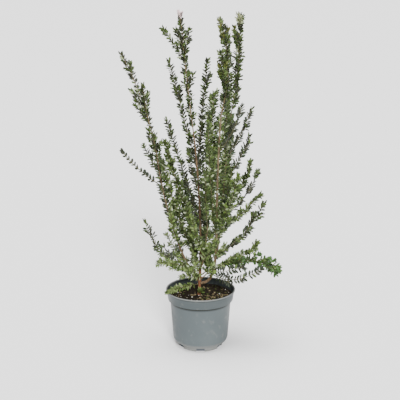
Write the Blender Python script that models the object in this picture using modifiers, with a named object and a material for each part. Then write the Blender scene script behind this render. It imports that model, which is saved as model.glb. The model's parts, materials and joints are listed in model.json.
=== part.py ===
"""Potted tarentum myrtle: a young evergreen shrub in a round grey nursery pot.

The origin is the middle of the pot's underside, +Z is up and the viewer stands
at -Y. All sizes are in metres. The shrub is a leaning trunk, five boughs that
leave it low down, and slim leafy shoots that leave trunk and boughs.
"""

import math
import random
from collections import namedtuple

import bmesh
import bpy
from mathutils import Matrix, Vector
from mathutils.bvhtree import BVHTree
from mathutils.geometry import interpolate_bezier

# Clearance between sub-parts that touch on the real plant
GAP = 0.0003
SOIL_GAP = 0.0005
SIDE_GAP = 0.0004
TIP_GAP = 0.0005

# Corners closer than this are one corner
WELD = 0.00003

# Pot
POT_HEIGHT = 0.163
RIM_RADIUS = 0.0962
WALL = 0.0018
FLOOR = 0.0022
LIP_HEIGHT = 0.0035
LIP_DEPTH = 0.0018
BAND_HEIGHT = 0.029
BAND_FOOT_RADIUS = 0.0902
BODY_TOP_RADIUS = 0.0845
BODY_FOOT_RADIUS = 0.0769
ROUND_TOP = 0.030
ROUND_FULLNESS = 0.8
ROUND_STEPS = 4
EDGE = 0.0009
FOOT_RING_HEIGHT = 0.0125
FOOT_RING_RADIUS = 0.0625
DRAIN_SLOTS = 6
DRAIN_SLOT_DEPTH = 0.0150
DRAIN_SLOT_WIDTH = 0.0230
DRAIN_SLOT_TOP = 0.0088
TURNED_SIDES = 32

# Potting soil
SOIL_TOP = 0.147

# Trunk
TRUNK_FOOT = (-0.0053, -0.0025)
TRUNK_START = 0.133
TRUNK_LEAVE = (0.004, 0.004, 0.260)
TRUNK_ARRIVE = (0.002, 0.002, 0.420)
TRUNK_TIP = (-0.019, 0.011, 0.600)
TRUNK_RADIUS = 0.0040
TRUNK_TIP_RADIUS = 0.0018
FLARE = 0.0010
FLARE_FALL = 0.009
TRUNK_CHORD = 0.010
TRUNK_POINTS = 14
TRUNK_CROWDING = 1.7

# Limbs and twigs
BOUGH_SIDES = 8
TWIG_SIDES = 3
ARC_POINTS = 97
BOUGH_CHORD = 0.044
BOUGH_CROWDING = 1.6
SHOOT_CHORD = 0.046
CROWDING = 1.25
SHOOT_RADIUS = 0.0015
SHOOT_TIP_RADIUS = 0.0008
FORK_RADIUS = 0.0011
FORK_BOW = 0.12
SHOOT_END = 0.012

# Leaves, larger and fewer than the shrub's own
LEAF_LENGTH = 0.0280
LEAF_WIDTH = 0.0104
LEAF_THICKNESS = 0.0012
LEAF_SINK = 0.0003
LEAF_WIDEST = 0.38
LEAF_LEAST = 0.86
LEAF_SPREAD = 0.08
LEAF_RISE = math.radians(36.0)
LEAF_SWAY = math.radians(8.0)
END_LEAF_RISE = math.radians(20.0)
END_LEAF_SIZE = 0.80
END_PAIR_BACK = 0.005
PAIR_STEP = 0.0500
PAIR_TURN = math.radians(90.0)
FIRST_PAIR = 0.022
LEAF_MARGINS = (0.0010, 0.0007, 0.0025)

# Side twigs grown by the seeded rule
TWIG_EVERY = 0.205
TWIG_FIRST = 0.045
TWIG_LAST = 0.018
TWIG_JITTER = 0.2
TWIG_TURN = math.radians(137.5)
TWIG_LENGTH = 0.036
TWIG_SHORTEST = 0.75
TWIG_LONGEST = 1.2
TWIG_RISE = math.radians(38.0)
TWIG_TIP_RISE = math.radians(23.0)
TWIG_RADIUS = 0.0010
TWIG_CLEARANCE = 0.0025
CLEARANCE_STEPS = 12

# A bough leaves its parent at a height and runs along one Bezier arc
Bough = namedtuple("Bough", "name parent height leave arrive tip radius tip_radius")
BOUGHS = (
    Bough("bough_left", "trunk", 0.186, (-0.046, -0.004, 0.225),
          (-0.098, -0.026, 0.400), (-0.114, -0.034, 0.540), 0.0030, 0.0018),
    Bough("bough_right", "trunk", 0.179, (0.065, -0.012, 0.186),
          (0.029, -0.055, 0.316), (0.053, -0.060, 0.660), 0.0042, 0.0020),
    Bough("bough_right_back", "bough_right", 0.252, (0.060, 0.015, 0.320),
          (0.060, 0.045, 0.450), (0.083, 0.060, 0.640), 0.0025, 0.0015),
    Bough("bough_back", "trunk", 0.201, (0.004, 0.045, 0.235),
          (0.012, 0.085, 0.360), (0.016, 0.100, 0.480), 0.0024, 0.0015),
    Bough("bough_front", "trunk", 0.222, (0.006, -0.040, 0.246),
          (0.014, -0.080, 0.300), (0.018, -0.092, 0.370), 0.0022, 0.0015),
)

# A leafy shoot leaves its parent at a height, or carries on from its parent's
# tip where the height is None. Forks are its named side twigs: a share of the
# shoot's length and the tip that the fork reaches.
Shoot = namedtuple("Shoot", "name parent height bend tip green forks")
SHOOTS = (
    Shoot("foliage_leader", "trunk", None, (-0.039, 0.021, 0.755), (-0.053, 0.020, 0.912), "dark",
          ((0.60, (-0.103, 0.005, 0.877)), (0.64, (-0.027, 0.035, 0.876)))),
    Shoot("foliage_left_top", "bough_left", None, (-0.136, -0.044, 0.688), (-0.206, -0.050, 0.820),
          "dark", ((0.40, (-0.147, -0.070, 0.744)), (0.36, (-0.184, -0.022, 0.722)))),
    Shoot("foliage_right_top", "bough_right", None, (0.089, -0.058, 0.785), (0.046, -0.040, 0.904),
          "olive", ((0.42, (0.043, -0.070, 0.824)),)),
    Shoot("foliage_right_back_top", "bough_right_back", None, (0.109, 0.069, 0.775),
          (0.104, 0.065, 0.913), "mid", ((0.60, (0.091, 0.050, 0.866)),)),
    Shoot("foliage_back_top", "bough_back", None, (0.012, 0.134, 0.583), (0.032, 0.150, 0.689),
          "dark", ()),
    Shoot("foliage_front_top", "bough_front", None, (0.010, -0.119, 0.451), (0.014, -0.140, 0.535),
          "mid", ()),
    Shoot("foliage_mid_left", "trunk", 0.500, (-0.048, 0.047, 0.646), (-0.087, 0.060, 0.794),
          "dark", ()),
    Shoot("foliage_mid_back", "trunk", 0.470, (0.000, 0.065, 0.626), (0.020, 0.075, 0.792),
          "dark", ()),
    Shoot("foliage_left_back_long", "trunk", 0.350, (-0.048, 0.058, 0.487),
          (-0.097, 0.080, 0.634), "dark", ()),
    Shoot("foliage_left_front_long", "trunk", 0.300, (-0.060, -0.054, 0.443),
          (-0.092, -0.090, 0.602), "mid", ()),
    Shoot("foliage_left_bright", "trunk", 0.236, (-0.071, -0.043, 0.382),
          (-0.100, -0.070, 0.549), "bright", ()),
    Shoot("foliage_right_inner", "bough_right", 0.480, (0.023, -0.035, 0.600),
          (0.036, -0.020, 0.718), "mid", ()),
    Shoot("foliage_centre_front", "bough_right", 0.320, (0.023, -0.106, 0.473),
          (0.019, -0.095, 0.647), "mid", ()),
    Shoot("foliage_right_low", "bough_right", 0.268, (0.134, -0.004, 0.315),
          (0.173, -0.020, 0.420), "dark", ((0.58, (0.143, -0.040, 0.398)),)),
    Shoot("foliage_right_low_back", "bough_right_back", 0.330, (0.120, 0.056, 0.361),
          (0.173, 0.060, 0.426), "mid", ()),
    Shoot("foliage_right_wing_back", "bough_right_back", 0.370, (0.133, 0.104, 0.377),
          (0.164, 0.110, 0.481), "dark", ()),
    Shoot("foliage_right_wing_front", "bough_right", 0.400, (0.113, -0.085, 0.455),
          (0.133, -0.070, 0.549), "dark", ()),
    Shoot("foliage_right_fan_back", "bough_right_back", 0.460, (0.112, 0.108, 0.498),
          (0.139, 0.125, 0.579), "mid", ()),
    Shoot("foliage_right_fan", "bough_right_back", 0.520, (0.116, 0.051, 0.587),
          (0.140, 0.050, 0.667), "dark", ()),
    Shoot("foliage_right_fan_front", "bough_right", 0.560, (0.093, -0.072, 0.620),
          (0.107, -0.070, 0.691), "dark", ()),
    Shoot("foliage_right_inner_low", "bough_right", 0.350, (0.079, -0.107, 0.417),
          (0.098, -0.110, 0.518), "bright", ()),
    Shoot("foliage_left_thin", "bough_left", 0.462, (-0.168, -0.015, 0.498),
          (-0.214, -0.020, 0.562), "dark", ()),
    Shoot("foliage_left_short", "bough_left", 0.500, (-0.135, -0.001, 0.528),
          (-0.156, 0.010, 0.573), "mid", ()),
    Shoot("foliage_low_left", "trunk", 0.212, (-0.116, -0.042, 0.246), (-0.152, -0.030, 0.374),
          "mid", ()),
    Shoot("foliage_low_left_front", "trunk", 0.226, (-0.052, -0.058, 0.250),
          (-0.121, -0.085, 0.269), "bright", ()),
    Shoot("foliage_low_left_back", "trunk", 0.228, (-0.056, 0.043, 0.251), (-0.121, 0.070, 0.237),
          "mid", ()),
    Shoot("foliage_pot_left", "trunk", 0.176, (-0.047, -0.029, 0.181), (-0.098, -0.057, 0.169),
          "bright", ()),
    Shoot("foliage_low_right", "bough_right", 0.222, (0.123, -0.033, 0.288),
          (0.221, -0.045, 0.224), "bright", ()),
    Shoot("foliage_low_right_up", "bough_right", 0.238, (0.113, 0.014, 0.236),
          (0.168, 0.030, 0.294), "bright", ()),
    Shoot("foliage_low_right_thin", "bough_right", 0.210, (0.094, -0.065, 0.188),
          (0.169, -0.075, 0.251), "dark", ()),
    Shoot("foliage_fill_right_high", "bough_right_back", 0.420, (0.083, 0.114, 0.513),
          (0.085, 0.120, 0.638), "mid", ()),
    Shoot("foliage_fill_right_back", "bough_right_back", 0.300, (0.069, 0.107, 0.393),
          (0.070, 0.150, 0.524), "mid", ()),
    Shoot("foliage_fill_right_top", "bough_right_back", 0.560, (0.070, 0.042, 0.633),
          (0.067, 0.020, 0.706), "mid", ()),
    Shoot("foliage_fill_right_low", "bough_right", 0.300, (0.075, 0.005, 0.398),
          (0.082, 0.010, 0.502), "mid", ()),
    Shoot("foliage_fill_back_high", "bough_back", 0.330, (0.039, 0.121, 0.437),
          (0.044, 0.175, 0.549), "mid", ()),
    Shoot("foliage_fill_centre", "trunk", 0.400, (0.007, 0.033, 0.472), (0.004, 0.060, 0.542),
          "mid", ()),
    Shoot("foliage_fill_back_mid", "bough_back", 0.270, (0.018, 0.115, 0.298),
          (0.010, 0.140, 0.365), "mid", ()),
    Shoot("foliage_fill_front_left", "bough_front", 0.290, (-0.014, -0.121, 0.336),
          (-0.022, -0.135, 0.411), "mid", ()),
    Shoot("foliage_fill_front_low", "bough_front", 0.255, (0.023, -0.091, 0.291),
          (0.040, -0.120, 0.345), "bright", ()),
    Shoot("foliage_fill_back_left", "bough_back", 0.300, (-0.028, 0.127, 0.352),
          (-0.050, 0.150, 0.443), "mid", ()),
    Shoot("foliage_fill_left_front", "bough_left", 0.300, (-0.077, -0.066, 0.349),
          (-0.080, -0.080, 0.423), "bright", ()),
    Shoot("foliage_fill_left_mid", "bough_left", 0.350, (-0.069, 0.035, 0.371),
          (-0.062, 0.040, 0.429), "mid", ()),
    Shoot("foliage_fill_trunk_left", "trunk", 0.260, (-0.036, -0.034, 0.327),
          (-0.031, -0.048, 0.413), "mid", ()),
    Shoot("foliage_fill_left_low", "bough_left", 0.250, (-0.079, 0.024, 0.276),
          (-0.100, 0.060, 0.308), "bright", ()),
    Shoot("foliage_back_low", "bough_back", 0.240, (0.023, 0.102, 0.222), (0.051, 0.150, 0.257),
          "bright", ()),
    Shoot("foliage_leader_side", "trunk", 0.440, (-0.026, -0.008, 0.501), (-0.034, -0.030, 0.559),
          "mid", ()),
)

GREENS = {
    "dark": (0.028, 0.050, 0.022),
    "mid": (0.050, 0.085, 0.032),
    "bright": (0.085, 0.150, 0.040),
    "olive": (0.120, 0.130, 0.035),
}


def clear_scene():
    """Remove whatever the scene holds."""
    for thing in list(bpy.data.objects):
        bpy.data.objects.remove(thing, do_unlink=True)


def make_collection(name):
    """Make a collection in the scene."""
    collection = bpy.data.collections.new(name)
    bpy.context.scene.collection.children.link(collection)
    return collection


def make_material(name, colour, roughness):
    """Make a Principled material of one colour."""
    material = bpy.data.materials.new(name)
    material.use_nodes = True
    shader = material.node_tree.nodes["Principled BSDF"]
    shader.inputs["Base Color"].default_value = (*colour, 1.0)
    shader.inputs["Roughness"].default_value = roughness
    return material


def make_object(name, mesh, collection, material=None):
    """Place a mesh in a collection as a named object."""
    thing = bpy.data.objects.new(name, mesh)
    collection.objects.link(thing)
    if material:
        mesh.materials.clear()
        mesh.materials.append(material)
    return thing


def make_guide(thing):
    """Mark an object as a guide that is no sub-part."""
    thing.hide_render = True
    thing.display_type = "WIRE"
    return thing


def evaluated_mesh(thing):
    """Return the mesh of an object with its curve or modifiers worked out."""
    depsgraph = bpy.context.evaluated_depsgraph_get()
    return bpy.data.meshes.new_from_object(thing.evaluated_get(depsgraph), depsgraph=depsgraph)


def discard(thing):
    """Remove an object and the mesh or curve it used."""
    data = thing.data
    bpy.data.objects.remove(thing, do_unlink=True)
    if data and data.users == 0:
        library = bpy.data.curves if isinstance(data, bpy.types.Curve) else bpy.data.meshes
        library.remove(data)


# Pot and soil

def band_radius(height):
    """Return the outer radius of the rim band at a height."""
    share = (height - (POT_HEIGHT - BAND_HEIGHT)) / BAND_HEIGHT
    top_radius = RIM_RADIUS - LIP_DEPTH
    return BAND_FOOT_RADIUS + (top_radius - BAND_FOOT_RADIUS) * share


def base_round():
    """Return the rounded run from the body's foot in to the foot ring, top first."""
    points = []
    for step in range(1, ROUND_STEPS):
        angle = math.radians(90.0) * step / ROUND_STEPS
        outward = math.cos(angle) ** ROUND_FULLNESS
        radius = FOOT_RING_RADIUS + (BODY_FOOT_RADIUS - FOOT_RING_RADIUS) * outward
        height = ROUND_TOP - (ROUND_TOP - FOOT_RING_HEIGHT) * math.sin(angle)
        points.append((radius, height))
    return points


def outer_profile():
    """Return the pot's outer side from the lip down to its underside."""
    band_foot = POT_HEIGHT - BAND_HEIGHT
    lip_foot = POT_HEIGHT - LIP_HEIGHT
    profile = [
        (RIM_RADIUS - EDGE, POT_HEIGHT),
        (RIM_RADIUS, POT_HEIGHT - EDGE),
        (RIM_RADIUS, lip_foot + EDGE),
        (band_radius(lip_foot), lip_foot),
        (BAND_FOOT_RADIUS, band_foot + EDGE),
        (BAND_FOOT_RADIUS - EDGE, band_foot),
        (BODY_TOP_RADIUS, band_foot),
        (BODY_FOOT_RADIUS, ROUND_TOP),
    ]
    profile += base_round()
    profile += [(FOOT_RING_RADIUS, FOOT_RING_HEIGHT), (FOOT_RING_RADIUS - EDGE, 0.0), (0.0, 0.0)]
    return profile


def inner_profile():
    """Return the pot's inner side from the middle of its floor up to the lip."""
    band_foot = POT_HEIGHT - BAND_HEIGHT
    profile = [(0.0, FLOOR), (FOOT_RING_RADIUS - WALL, FLOOR)]
    profile += [(FOOT_RING_RADIUS - WALL, FOOT_RING_HEIGHT)]
    profile += [(radius - WALL, height) for radius, height in reversed(base_round())]
    profile += [
        (BODY_FOOT_RADIUS - WALL, ROUND_TOP),
        (BODY_TOP_RADIUS - WALL, band_foot + WALL),
        (BAND_FOOT_RADIUS - WALL, band_foot + WALL),
        (RIM_RADIUS - LIP_DEPTH - WALL, POT_HEIGHT),
    ]
    return profile


def soil_profile():
    """Return the soil's side, top first, SOIL_GAP clear of the pot's wall."""
    shoulder = POT_HEIGHT - BAND_HEIGHT + WALL + GAP
    inset = WALL + SOIL_GAP
    return [
        (0.0, SOIL_TOP),
        (band_radius(SOIL_TOP) - inset, SOIL_TOP),
        (BAND_FOOT_RADIUS - inset, shoulder),
        (BODY_TOP_RADIUS - inset, shoulder),
        (BODY_FOOT_RADIUS - inset, ROUND_TOP),
        (FOOT_RING_RADIUS - inset, FOOT_RING_HEIGHT),
        (FOOT_RING_RADIUS - inset, FLOOR + GAP),
        (0.0, FLOOR + GAP),
    ]


def turn(name, profile, collection, material):
    """Turn a profile of radii and heights about Z into a closed solid."""
    mesh = bpy.data.meshes.new(name)
    edges = [(i, i + 1) for i in range(len(profile) - 1)]
    mesh.from_pydata([(radius, 0.0, height) for radius, height in profile], edges, [])
    thing = make_object(name, mesh, collection, material)
    screw = thing.modifiers.new("turn", "SCREW")
    screw.steps = TURNED_SIDES
    screw.render_steps = TURNED_SIDES
    screw.use_merge_vertices = True
    screw.merge_threshold = WELD
    screw.use_smooth_shade = True
    weld = thing.modifiers.new("close", "WELD")
    weld.merge_threshold = WELD
    return thing


def cut_drain_slots(pot, guides):
    """Cut the ring of drain slots, open below, through the pot's foot ring and floor edge."""
    for number in range(DRAIN_SLOTS):
        angle = math.radians(-90.0) + math.tau * number / DRAIN_SLOTS
        mesh = bpy.data.meshes.new("drain_slot")
        box = bmesh.new()
        bmesh.ops.create_cube(box, size=1.0)
        size = Vector((DRAIN_SLOT_DEPTH, DRAIN_SLOT_WIDTH, 2 * DRAIN_SLOT_TOP))
        bmesh.ops.scale(box, vec=size, verts=box.verts)
        box.to_mesh(mesh)
        box.free()
        cutter = make_guide(make_object(f"drain_slot_{number + 1}", mesh, guides))
        cutter.location = (FOOT_RING_RADIUS * math.cos(angle), FOOT_RING_RADIUS * math.sin(angle), 0.0)
        cutter.rotation_euler = (0.0, 0.0, angle)
        slot = pot.modifiers.new(f"slot_{number + 1}", "BOOLEAN")
        slot.operation = "DIFFERENCE"
        slot.object = cutter


def make_pot(collection, guides):
    """Make the pot: one turned shell with a lip, a rim band and drain slots."""
    plastic = make_material("pot_plastic", (0.24, 0.26, 0.27), 0.5)
    pot = turn("pot", inner_profile() + outer_profile(), collection, plastic)
    cut_drain_slots(pot, guides)
    return pot


def make_soil(collection):
    """Make the potting soil that fills the pot."""
    return turn("soil", soil_profile(), collection, make_material("soil", (0.03, 0.02, 0.014), 0.95))


# Limbs

class Limb:
    """A tapering limb: points crowded towards its start, and the radius at each of them."""

    def __init__(self, corners, chord, radius, tip_radius, end=0.0, crowding=CROWDING):
        """Run from the first corner to the last along one Bezier arc, and stop short by end."""
        self.points = interpolate_bezier(*corners, ARC_POINTS)
        self.measure()
        length = self.length - end
        count = max(3, round(length / chord) + 1)
        shares = [(i / (count - 1)) ** crowding for i in range(count)]
        self.points = [self.at(length * share)[0] for share in shares]
        self.measure()
        self.radii = [radius + (tip_radius - radius) * share for share in shares]

    def measure(self):
        """Work out the distance along the limb at each point."""
        self.distances = [0.0]
        for first, second in zip(self.points, self.points[1:]):
            self.distances.append(self.distances[-1] + (second - first).length)
        self.length = self.distances[-1]

    def chord_at(self, distance):
        """Return the number of the chord that holds a distance, and the share along it."""
        for i in range(len(self.points) - 1):
            if distance <= self.distances[i + 1] or i == len(self.points) - 2:
                span = self.distances[i + 1] - self.distances[i]
                return i, (distance - self.distances[i]) / span

    def at(self, distance):
        """Return the place and the direction at a distance along the limb."""
        i, share = self.chord_at(distance)
        first, second = self.points[i], self.points[i + 1]
        return first.lerp(second, share), (second - first).normalized()

    def radius_at(self, distance):
        """Return the limb's radius at a distance along it."""
        i, share = self.chord_at(distance)
        return self.radii[i] + (self.radii[i + 1] - self.radii[i]) * share

    def distance_at_height(self, height):
        """Return how far along the limb it first reaches a height."""
        for i, (first, second) in enumerate(zip(self.points, self.points[1:])):
            if first.z <= height <= second.z:
                share = (height - first.z) / (second.z - first.z)
                return self.distances[i] + share * (self.distances[i + 1] - self.distances[i])
        return self.length


def trunk_limb():
    """Return the trunk, flared at the soil, with its points crowded towards the flare."""
    corners = ((*TRUNK_FOOT, TRUNK_START), TRUNK_LEAVE, TRUNK_ARRIVE, TRUNK_TIP)
    limb = Limb(corners, TRUNK_CHORD, TRUNK_RADIUS, TRUNK_TIP_RADIUS)
    last = TRUNK_POINTS - 1
    spread = [limb.length * (i / last) ** TRUNK_CROWDING for i in range(TRUNK_POINTS)]
    radii = [limb.radius_at(distance) for distance in spread]
    limb.points = [limb.at(distance)[0] for distance in spread]
    limb.radii = [
        radius + FLARE * math.exp(-max(0.0, point.z - SOIL_TOP) / FLARE_FALL)
        for point, radius in zip(limb.points, radii)
    ]
    limb.measure()
    return limb


def beside(parent, height, toward, radius):
    """Return where a limb leaves its parent, so that its end stands well clear of the bark."""
    distance = parent.distance_at_height(height)
    centre, along = parent.at(distance)
    direction = (Vector(toward) - centre).normalized()
    side = (direction - along * direction.dot(along)).normalized()
    return centre + side * (parent.radius_at(distance) + SIDE_GAP + radius)


def beyond(parent):
    """Return where a shoot carries on from its parent's tip, TIP_GAP clear of it."""
    tip, along = parent.at(parent.length)
    return tip + along * TIP_GAP


def soft_corners(start, bend, tip):
    """Return the four corners of the arc that bends once on its way to its tip."""
    start, bend, tip = Vector(start), Vector(bend), Vector(tip)
    return start, start.lerp(bend, 2.0 / 3.0), tip.lerp(bend, 2.0 / 3.0), tip


def section(sides, guides):
    """Return the outline, of unit radius, that a limb with this many sides is swept from."""
    name = f"section_{sides}"
    if name in bpy.data.objects:
        return bpy.data.objects[name]
    curve = bpy.data.curves.new(name, "CURVE")
    spline = curve.splines.new("POLY")
    spline.points.add(sides - 1)
    spline.use_cyclic_u = True
    for i, point in enumerate(spline.points):
        angle = math.tau * i / sides
        point.co = (math.cos(angle), math.sin(angle), 0.0, 1.0)
    outline = bpy.data.objects.new(name, curve)
    guides.objects.link(outline)
    return make_guide(outline)


def limb_mesh(name, limb, sides, guides):
    """Sweep a limb as a curve with filled ends and return it as a closed mesh."""
    curve = bpy.data.curves.new(name, "CURVE")
    curve.dimensions = "3D"
    curve.bevel_mode = "OBJECT"
    curve.bevel_object = section(sides, guides)
    curve.use_fill_caps = True
    spline = curve.splines.new("POLY")
    spline.points.add(len(limb.points) - 1)
    for point, place, radius in zip(spline.points, limb.points, limb.radii):
        point.co = (*place, 1.0)
        point.radius = radius
    sweep = bpy.data.objects.new(name, curve)
    guides.objects.link(sweep)
    mesh = evaluated_mesh(sweep)
    discard(sweep)
    solid = bmesh.new()
    solid.from_mesh(mesh)
    bmesh.ops.remove_doubles(solid, verts=solid.verts, dist=WELD)
    bmesh.ops.recalc_face_normals(solid, faces=solid.faces)
    solid.to_mesh(mesh)
    solid.free()
    return mesh


def cut_at_soil(mesh):
    """Cut the trunk flat, GAP above the soil, and close the cut."""
    solid = bmesh.new()
    solid.from_mesh(mesh)
    whole = list(solid.verts) + list(solid.edges) + list(solid.faces)
    cut = bmesh.ops.bisect_plane(
        solid, geom=whole, plane_co=(0.0, 0.0, SOIL_TOP + GAP), plane_no=(0.0, 0.0, 1.0),
        clear_inner=True,
    )
    edges = [edge for edge in cut["geom_cut"] if isinstance(edge, bmesh.types.BMEdge)]
    bmesh.ops.edgeloop_fill(solid, edges=edges)
    bmesh.ops.recalc_face_normals(solid, faces=solid.faces)
    solid.to_mesh(mesh)
    solid.free()


def bough_limb(bough, start):
    """Return a bough from its start to its tip."""
    corners = (start, bough.leave, bough.arrive, bough.tip)
    return Limb(corners, BOUGH_CHORD, bough.radius, bough.tip_radius, crowding=BOUGH_CROWDING)


def stem_limb(shoot, start, radius=SHOOT_RADIUS):
    """Return a shoot's stem from its start to its tip."""
    corners = soft_corners(start, shoot.bend, shoot.tip)
    return Limb(corners, SHOOT_CHORD, radius, SHOOT_TIP_RADIUS, SHOOT_END)


def seated(run, branch, start, sides, bark, guides):
    """Return a branch's limb, its start moved in until it stands SIDE_GAP from the bark."""
    mesh = limb_mesh(branch.name, run(branch, start), sides, guides)
    places = [vertex.co.copy() for vertex in mesh.vertices]
    places += [places[edge.vertices[0]].lerp(places[edge.vertices[1]], 0.5) for edge in mesh.edges]
    bpy.data.meshes.remove(mesh)
    nearest = min(places, key=lambda place: bark.find_nearest(place)[3])
    touch, _, _, distance = bark.find_nearest(nearest)
    return run(branch, start + (touch - nearest).normalized() * (distance - SIDE_GAP))


def make_limbs(collection, room, guides):
    """Make the trunk and the boughs, and return each one's limb by its name."""
    material = make_material("bark", (0.16, 0.085, 0.050), 0.8)
    limbs = {"trunk": trunk_limb()}
    trunk_mesh = limb_mesh("trunk", limbs["trunk"], BOUGH_SIDES, guides)
    cut_at_soil(trunk_mesh)
    room.take("trunk", trunk_mesh)
    make_object("trunk", trunk_mesh, collection, material)
    for bough in BOUGHS:
        start = beside(limbs[bough.parent], bough.height, bough.leave, bough.radius)
        limb = seated(bough_limb, bough, start, BOUGH_SIDES, room.surfaces[bough.parent], guides)
        limbs[bough.name] = limb
        mesh = limb_mesh(bough.name, limb, BOUGH_SIDES, guides)
        room.take(bough.name, mesh)
        make_object(bough.name, mesh, collection, material)
    return limbs


# Room that each mass of foliage keeps to

class Room:
    """The surfaces of all sub-parts, which a leaf or twig of another one stays clear of."""

    def __init__(self):
        """Start empty."""
        self.surfaces = {}

    def take(self, name, mesh):
        """Keep or renew the surface of a sub-part."""
        corners = [vertex.co.copy() for vertex in mesh.vertices]
        faces = [tuple(face.vertices) for face in mesh.polygons]
        self.surfaces[name] = BVHTree.FromPolygons(corners, faces)

    def others(self, name):
        """Return the surfaces of every other sub-part."""
        return [surface for other, surface in self.surfaces.items() if other != name]

    def is_clear(self, name, corners, faces):
        """Tell whether a small closed shape crosses no other sub-part's surface."""
        shape = BVHTree.FromPolygons(corners, faces)
        return not any(surface.overlap(shape) for surface in self.others(name))

    def is_clear_along(self, name, limb):
        """Tell whether a twig keeps its clearance from every other sub-part."""
        for i in range(1, CLEARANCE_STEPS + 1):
            distance = limb.length * i / CLEARANCE_STEPS
            reach = limb.radius_at(distance) + TWIG_CLEARANCE
            place = limb.at(distance)[0]
            for surface in self.others(name):
                if surface.find_nearest(place, reach)[0] is not None:
                    return False
        return True


# Leaves and shoots

def leaf_mesh(name, margins=(0.0, 0.0, 0.0)):
    """Make a leaf of eight faces that grows along +Z from the origin and faces +Y."""
    width, thickness, length = margins
    mesh = bpy.data.meshes.new(name)
    leaf = bmesh.new()
    bmesh.ops.create_uvsphere(leaf, u_segments=4, v_segments=2, radius=1.0)
    size = Vector((LEAF_WIDTH / 2 + width, LEAF_THICKNESS / 2 + thickness, LEAF_LENGTH / 2 + length))
    bmesh.ops.scale(leaf, vec=size, verts=leaf.verts)
    bmesh.ops.translate(leaf, vec=(0.0, 0.0, LEAF_LENGTH / 2), verts=leaf.verts)
    for vertex in leaf.verts:
        if abs(vertex.co.z - LEAF_LENGTH / 2) < LEAF_LENGTH / 4:
            vertex.co.z = LEAF_LENGTH * LEAF_WIDEST
    leaf.to_mesh(mesh)
    leaf.free()
    return mesh


def leaf_place(place, along, side, rise, scale):
    """Return the matrix that grows a leaf out of a twig, to one side and up along it."""
    direction = (along * math.cos(rise) + side * math.sin(rise)).normalized()
    width = along.cross(side).normalized()
    face = direction.cross(width).normalized()
    turn_to = Matrix((width, face, direction)).transposed().to_4x4()
    root = place - direction * LEAF_SINK
    return Matrix.Translation(root) @ turn_to @ Matrix.Scale(scale, 4)


def pairs_along(limb, first, seeds, turn_start):
    """Yield the matrices of opposite pairs of leaves, each pair turned from the last."""
    room = limb.length - first
    count = round(room / PAIR_STEP)
    for number in range(count + 1):
        last = number == count
        share = 1.0 if last else number / count
        place, along = limb.at(first + room * share - (END_PAIR_BACK if last else 0.0))
        across = along.orthogonal().normalized()
        across.rotate(Matrix.Rotation(turn_start + PAIR_TURN * number, 3, along))
        rise = END_LEAF_RISE if last else LEAF_RISE
        middle = LEAF_LEAST + (1.0 - LEAF_LEAST) * math.sin(math.pi * share)
        size = END_LEAF_SIZE if last else middle
        for side in (across, -across):
            sway = seeds.uniform(-LEAF_SWAY, LEAF_SWAY)
            spread = 1.0 + seeds.uniform(-LEAF_SPREAD, LEAF_SPREAD)
            yield leaf_place(place, along, side, rise + sway, size * spread)


def fork_limb(stem, share, tip):
    """Return a named side twig that leaves a stem and bows up to its tip."""
    place, along = stem.at(stem.length * share)
    tip = Vector(tip)
    reach = (tip - place).length
    bend = place.lerp(tip, 0.5) + along * FORK_BOW * reach
    return Limb(soft_corners(place, bend, tip), SHOOT_CHORD, FORK_RADIUS, SHOOT_TIP_RADIUS, SHOOT_END)


def seeded_twigs(stem, seeds):
    """Yield short side twigs by the seeded rule, set round the stem."""
    count = int((stem.length - TWIG_FIRST) / TWIG_EVERY) + 1
    bearing = seeds.uniform(0.0, math.tau)
    for number in range(count):
        share = (number + 0.5 + seeds.uniform(-TWIG_JITTER, TWIG_JITTER)) / count
        place, along = stem.at(TWIG_FIRST + (stem.length - TWIG_FIRST - TWIG_LAST) * share)
        bearing += TWIG_TURN
        across = along.orthogonal().normalized()
        across.rotate(Matrix.Rotation(bearing, 3, along))
        half = TWIG_LENGTH * seeds.uniform(TWIG_SHORTEST, TWIG_LONGEST) / 2
        bend = place + (along * math.cos(TWIG_RISE) + across * math.sin(TWIG_RISE)) * half
        onward = along * math.cos(TWIG_TIP_RISE) + across * math.sin(TWIG_TIP_RISE)
        corners = soft_corners(place, bend, bend + onward * half)
        yield Limb(corners, SHOOT_CHORD, TWIG_RADIUS, SHOOT_TIP_RADIUS)


def one_body(mesh):
    """Keep a mesh's outermost body: loose scraps are dropped and sealed hollows filled."""
    solid = bmesh.new()
    solid.from_mesh(mesh)
    bmesh.ops.triangulate(solid, faces=solid.faces)
    left = set(solid.faces)
    bodies = []
    while left:
        body, front = set(), [left.pop()]
        while front:
            face = front.pop()
            body.add(face)
            for edge in face.edges:
                for neighbour in edge.link_faces:
                    if neighbour in left:
                        left.discard(neighbour)
                        front.append(neighbour)
        bodies.append(body)
    bodies.sort(key=len)
    scraps = [face for body in bodies[:-1] for face in body]
    bmesh.ops.delete(solid, geom=scraps, context="FACES")
    solid.to_mesh(mesh)
    solid.free()
    return mesh


def fuse(name, stem_mesh, pieces, guides):
    """Join a stem and its pieces into one body with one union on a collection."""
    group = bpy.data.collections.new(name + "_pieces")
    guides.children.link(group)
    for mesh, matrix in pieces:
        piece = bpy.data.objects.new(name + "_piece", mesh)
        piece.matrix_world = matrix
        group.objects.link(make_guide(piece))
    stem = bpy.data.objects.new(name + "_stem", stem_mesh)
    guides.objects.link(make_guide(stem))
    union = stem.modifiers.new("union", "BOOLEAN")
    union.operation = "UNION"
    union.operand_type = "COLLECTION"
    union.collection = group
    union.solver = "EXACT"
    fused = evaluated_mesh(stem)
    bpy.data.objects.remove(stem, do_unlink=True)
    for piece in list(group.objects):
        bpy.data.objects.remove(piece, do_unlink=True)
    bpy.data.collections.remove(group)
    return one_body(fused)


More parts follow.
